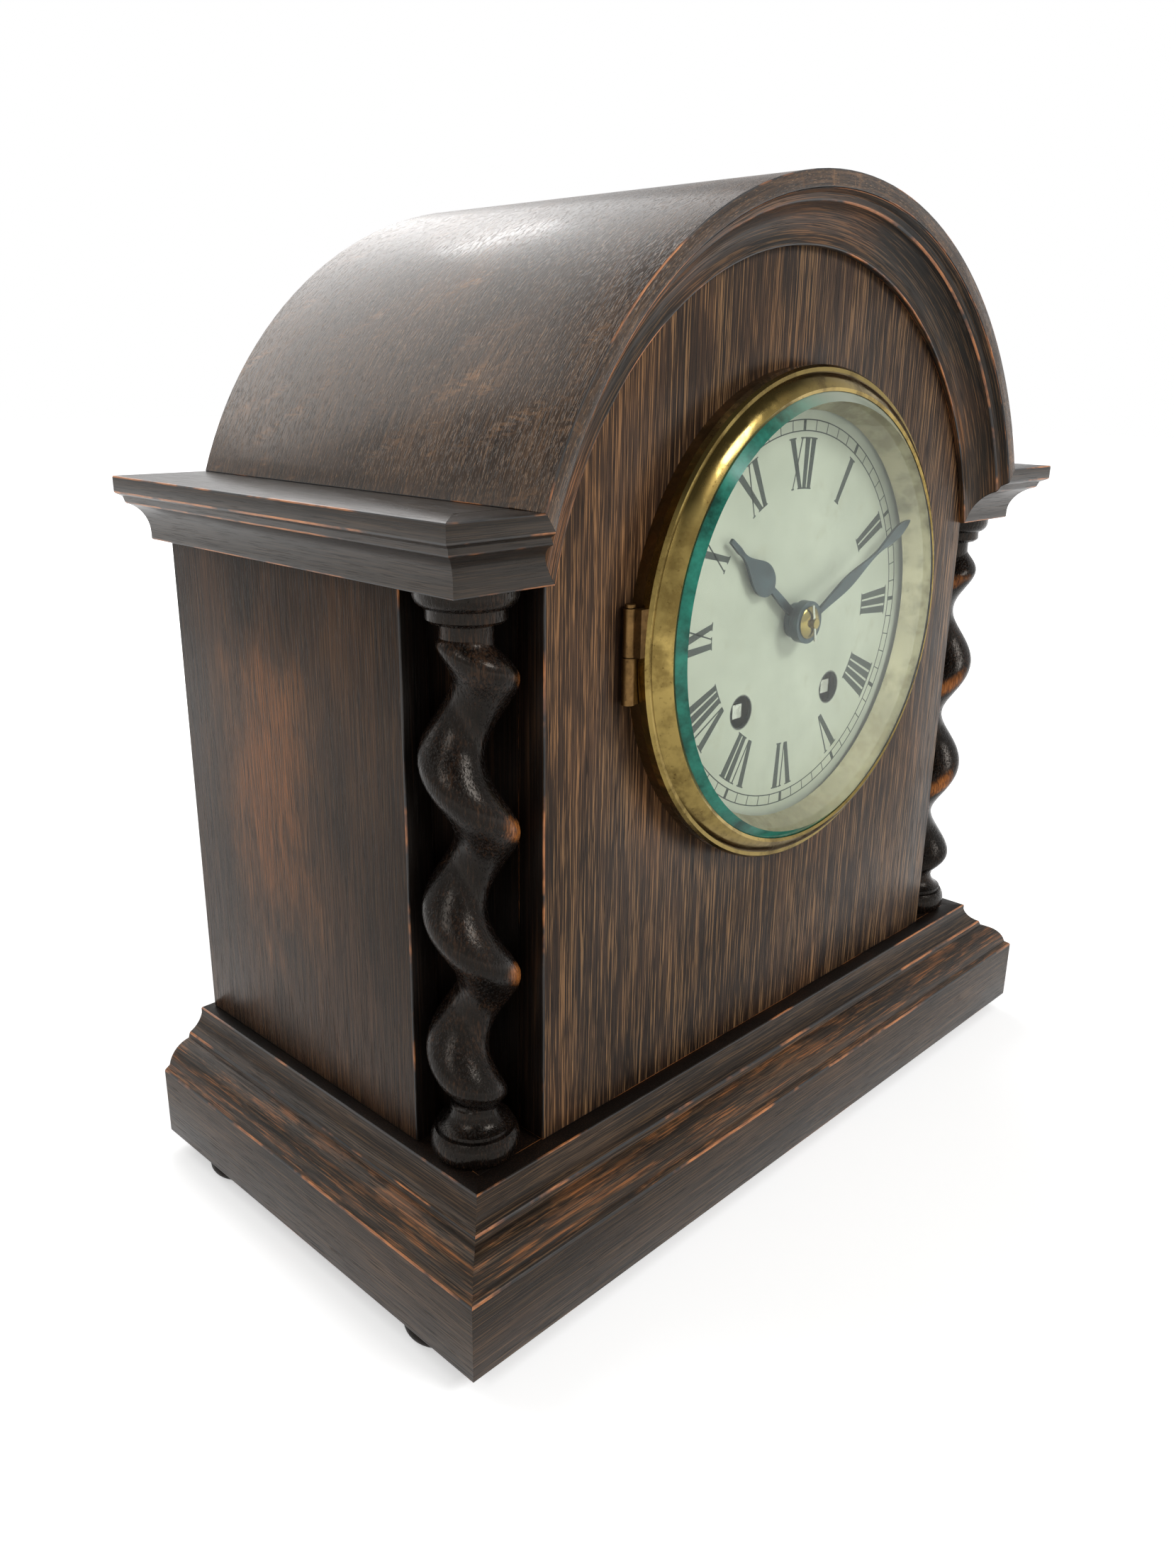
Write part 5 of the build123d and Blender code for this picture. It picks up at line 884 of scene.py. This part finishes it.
def shows_backdrop(add_node, links):
    """Factor that is 1 for rays that show the white room: from the camera, off gloss and through glass."""
    path = add_node("ShaderNodeLightPath")
    factor = path.outputs["Is Camera Ray"]
    for kind in ("Is Glossy Ray", "Is Transmission Ray"):
        either = add_node("ShaderNodeMath")
        either.operation = "MAXIMUM"
        links.new(factor, either.inputs[0])
        links.new(path.outputs[kind], either.inputs[1])
        factor = either.outputs[0]
    return factor


floor_finish = Finish("floor")
floor_x, floor_y, _ = floor_finish.parts(floor_finish.place())
floor_r = floor_finish.length(floor_x, floor_y)
fade = floor_finish.spread(floor_finish.step(floor_r, FLOOR_NEAR, FLOOR_FAR), FLOOR_GLOW, 1.0)
floor_seen = shows_backdrop(floor_finish.tree.nodes.new, floor_finish.tree.links)
shine = floor_finish.node("ShaderNodeEmission", WHITE, floor_finish.times(fade, floor_seen))
lit = floor_finish.node("ShaderNodeBsdfDiffuse", FLOOR_WHITE)
floor_sum = floor_finish.node("ShaderNodeAddShader", lit.outputs[0], shine.outputs[0])
floor_finish.tree.links.new(floor_sum.outputs[0], floor_finish.output.inputs[0])
bpy.ops.mesh.primitive_plane_add(size=FLOOR_SIZE)
floor = bpy.context.object
floor.name = "floor"
paint(floor, floor_finish.material)

# Walls are white up to WALL_TOP and darken to the ceiling; both are sines of the height angle.
WALL_TOP = 0.38
CEILING = 0.75
CEILING_LIGHT = 0.12
AMBIENT = 0.30
AMBIENT_COLOUR = (1.0, 0.99, 0.97, 1)

world = bpy.data.worlds.new("studio")
scene.world = world
world.use_nodes = True
world_nodes = world.node_tree.nodes
world_links = world.node_tree.links
world_nodes.clear()
heading = world_nodes.new("ShaderNodeTexCoord")
rise = world_nodes.new("ShaderNodeSeparateXYZ")
world_links.new(heading.outputs["Generated"], rise.inputs[0])
wall = world_nodes.new("ShaderNodeMapRange")
for socket, value in zip(wall.inputs[1:5], (WALL_TOP, CEILING, 1.0, CEILING_LIGHT)):
    socket.default_value = value
world_links.new(rise.outputs["Z"], wall.inputs["Value"])
seen = world_nodes.new("ShaderNodeBackground")
seen.inputs["Color"].default_value = WHITE
world_links.new(wall.outputs[0], seen.inputs["Strength"])
ambient = world_nodes.new("ShaderNodeBackground")
ambient.inputs["Color"].default_value = AMBIENT_COLOUR
ambient.inputs["Strength"].default_value = AMBIENT
chosen = world_nodes.new("ShaderNodeMixShader")
world_out = world_nodes.new("ShaderNodeOutputWorld")
world_links.new(shows_backdrop(world_nodes.new, world_links), chosen.inputs[0])
world_links.new(ambient.outputs[0], chosen.inputs[1])
world_links.new(seen.outputs[0], chosen.inputs[2])
world_links.new(chosen.outputs[0], world_out.inputs[0])


def softbox(name, at, aim, size, power):
    lamp = bpy.data.lights.new(name, "AREA")
    lamp.shape = "RECTANGLE"
    lamp.size, lamp.size_y = size
    lamp.energy = power
    holder = bpy.data.objects.new(name, lamp)
    scene.collection.objects.link(holder)
    holder.location = at
    holder.rotation_euler = (Vector(aim) - Vector(at)).to_track_quat("-Z", "Y").to_euler()


# Each lamp's name, place, aim, size and watts
LAMPS = (
    ("back_light", (0.0, 1.35, 1.45), (0, 0, 0.2), (2.4, 1.4), 25),
    ("spark_light", (0.53, 1.20, 1.46), (-0.08, -0.05, 0.28), (0.34, 0.10), 1.4),
    ("left_light", (-1.9, -0.5, 1.5), (0, 0, 0.15), (0.8, 0.7), 11),
    ("front_light", (0.5, -2.1, 1.9), (0, 0, 0.15), (1.0, 0.8), 38),
)
for lamp in LAMPS:
    softbox(*lamp)

forward = Vector((
    -sin(CAMERA_YAW) * cos(CAMERA_PITCH),
    cos(CAMERA_YAW) * cos(CAMERA_PITCH),
    sin(CAMERA_PITCH),
))
level = forward.cross(Vector((0, 0, 1))).normalized()
upward = level.cross(forward)
right = level * cos(CAMERA_ROLL) + upward * sin(CAMERA_ROLL)
up = upward * cos(CAMERA_ROLL) - level * sin(CAMERA_ROLL)
camera_data = bpy.data.cameras.new("camera")
camera_data.sensor_width = SENSOR
camera_data.lens = SENSOR * FOCAL_PX / PHOTO_H
camera_data.clip_start = CAMERA_CLIP
camera = bpy.data.objects.new("camera", camera_data)
scene.collection.objects.link(camera)
camera.matrix_world = Matrix((
    (right.x, up.x, -forward.x, CAMERA_AT.x),
    (right.y, up.y, -forward.y, CAMERA_AT.y),
    (right.z, up.z, -forward.z, CAMERA_AT.z),
    (0, 0, 0, 1),
))
scene.camera = camera
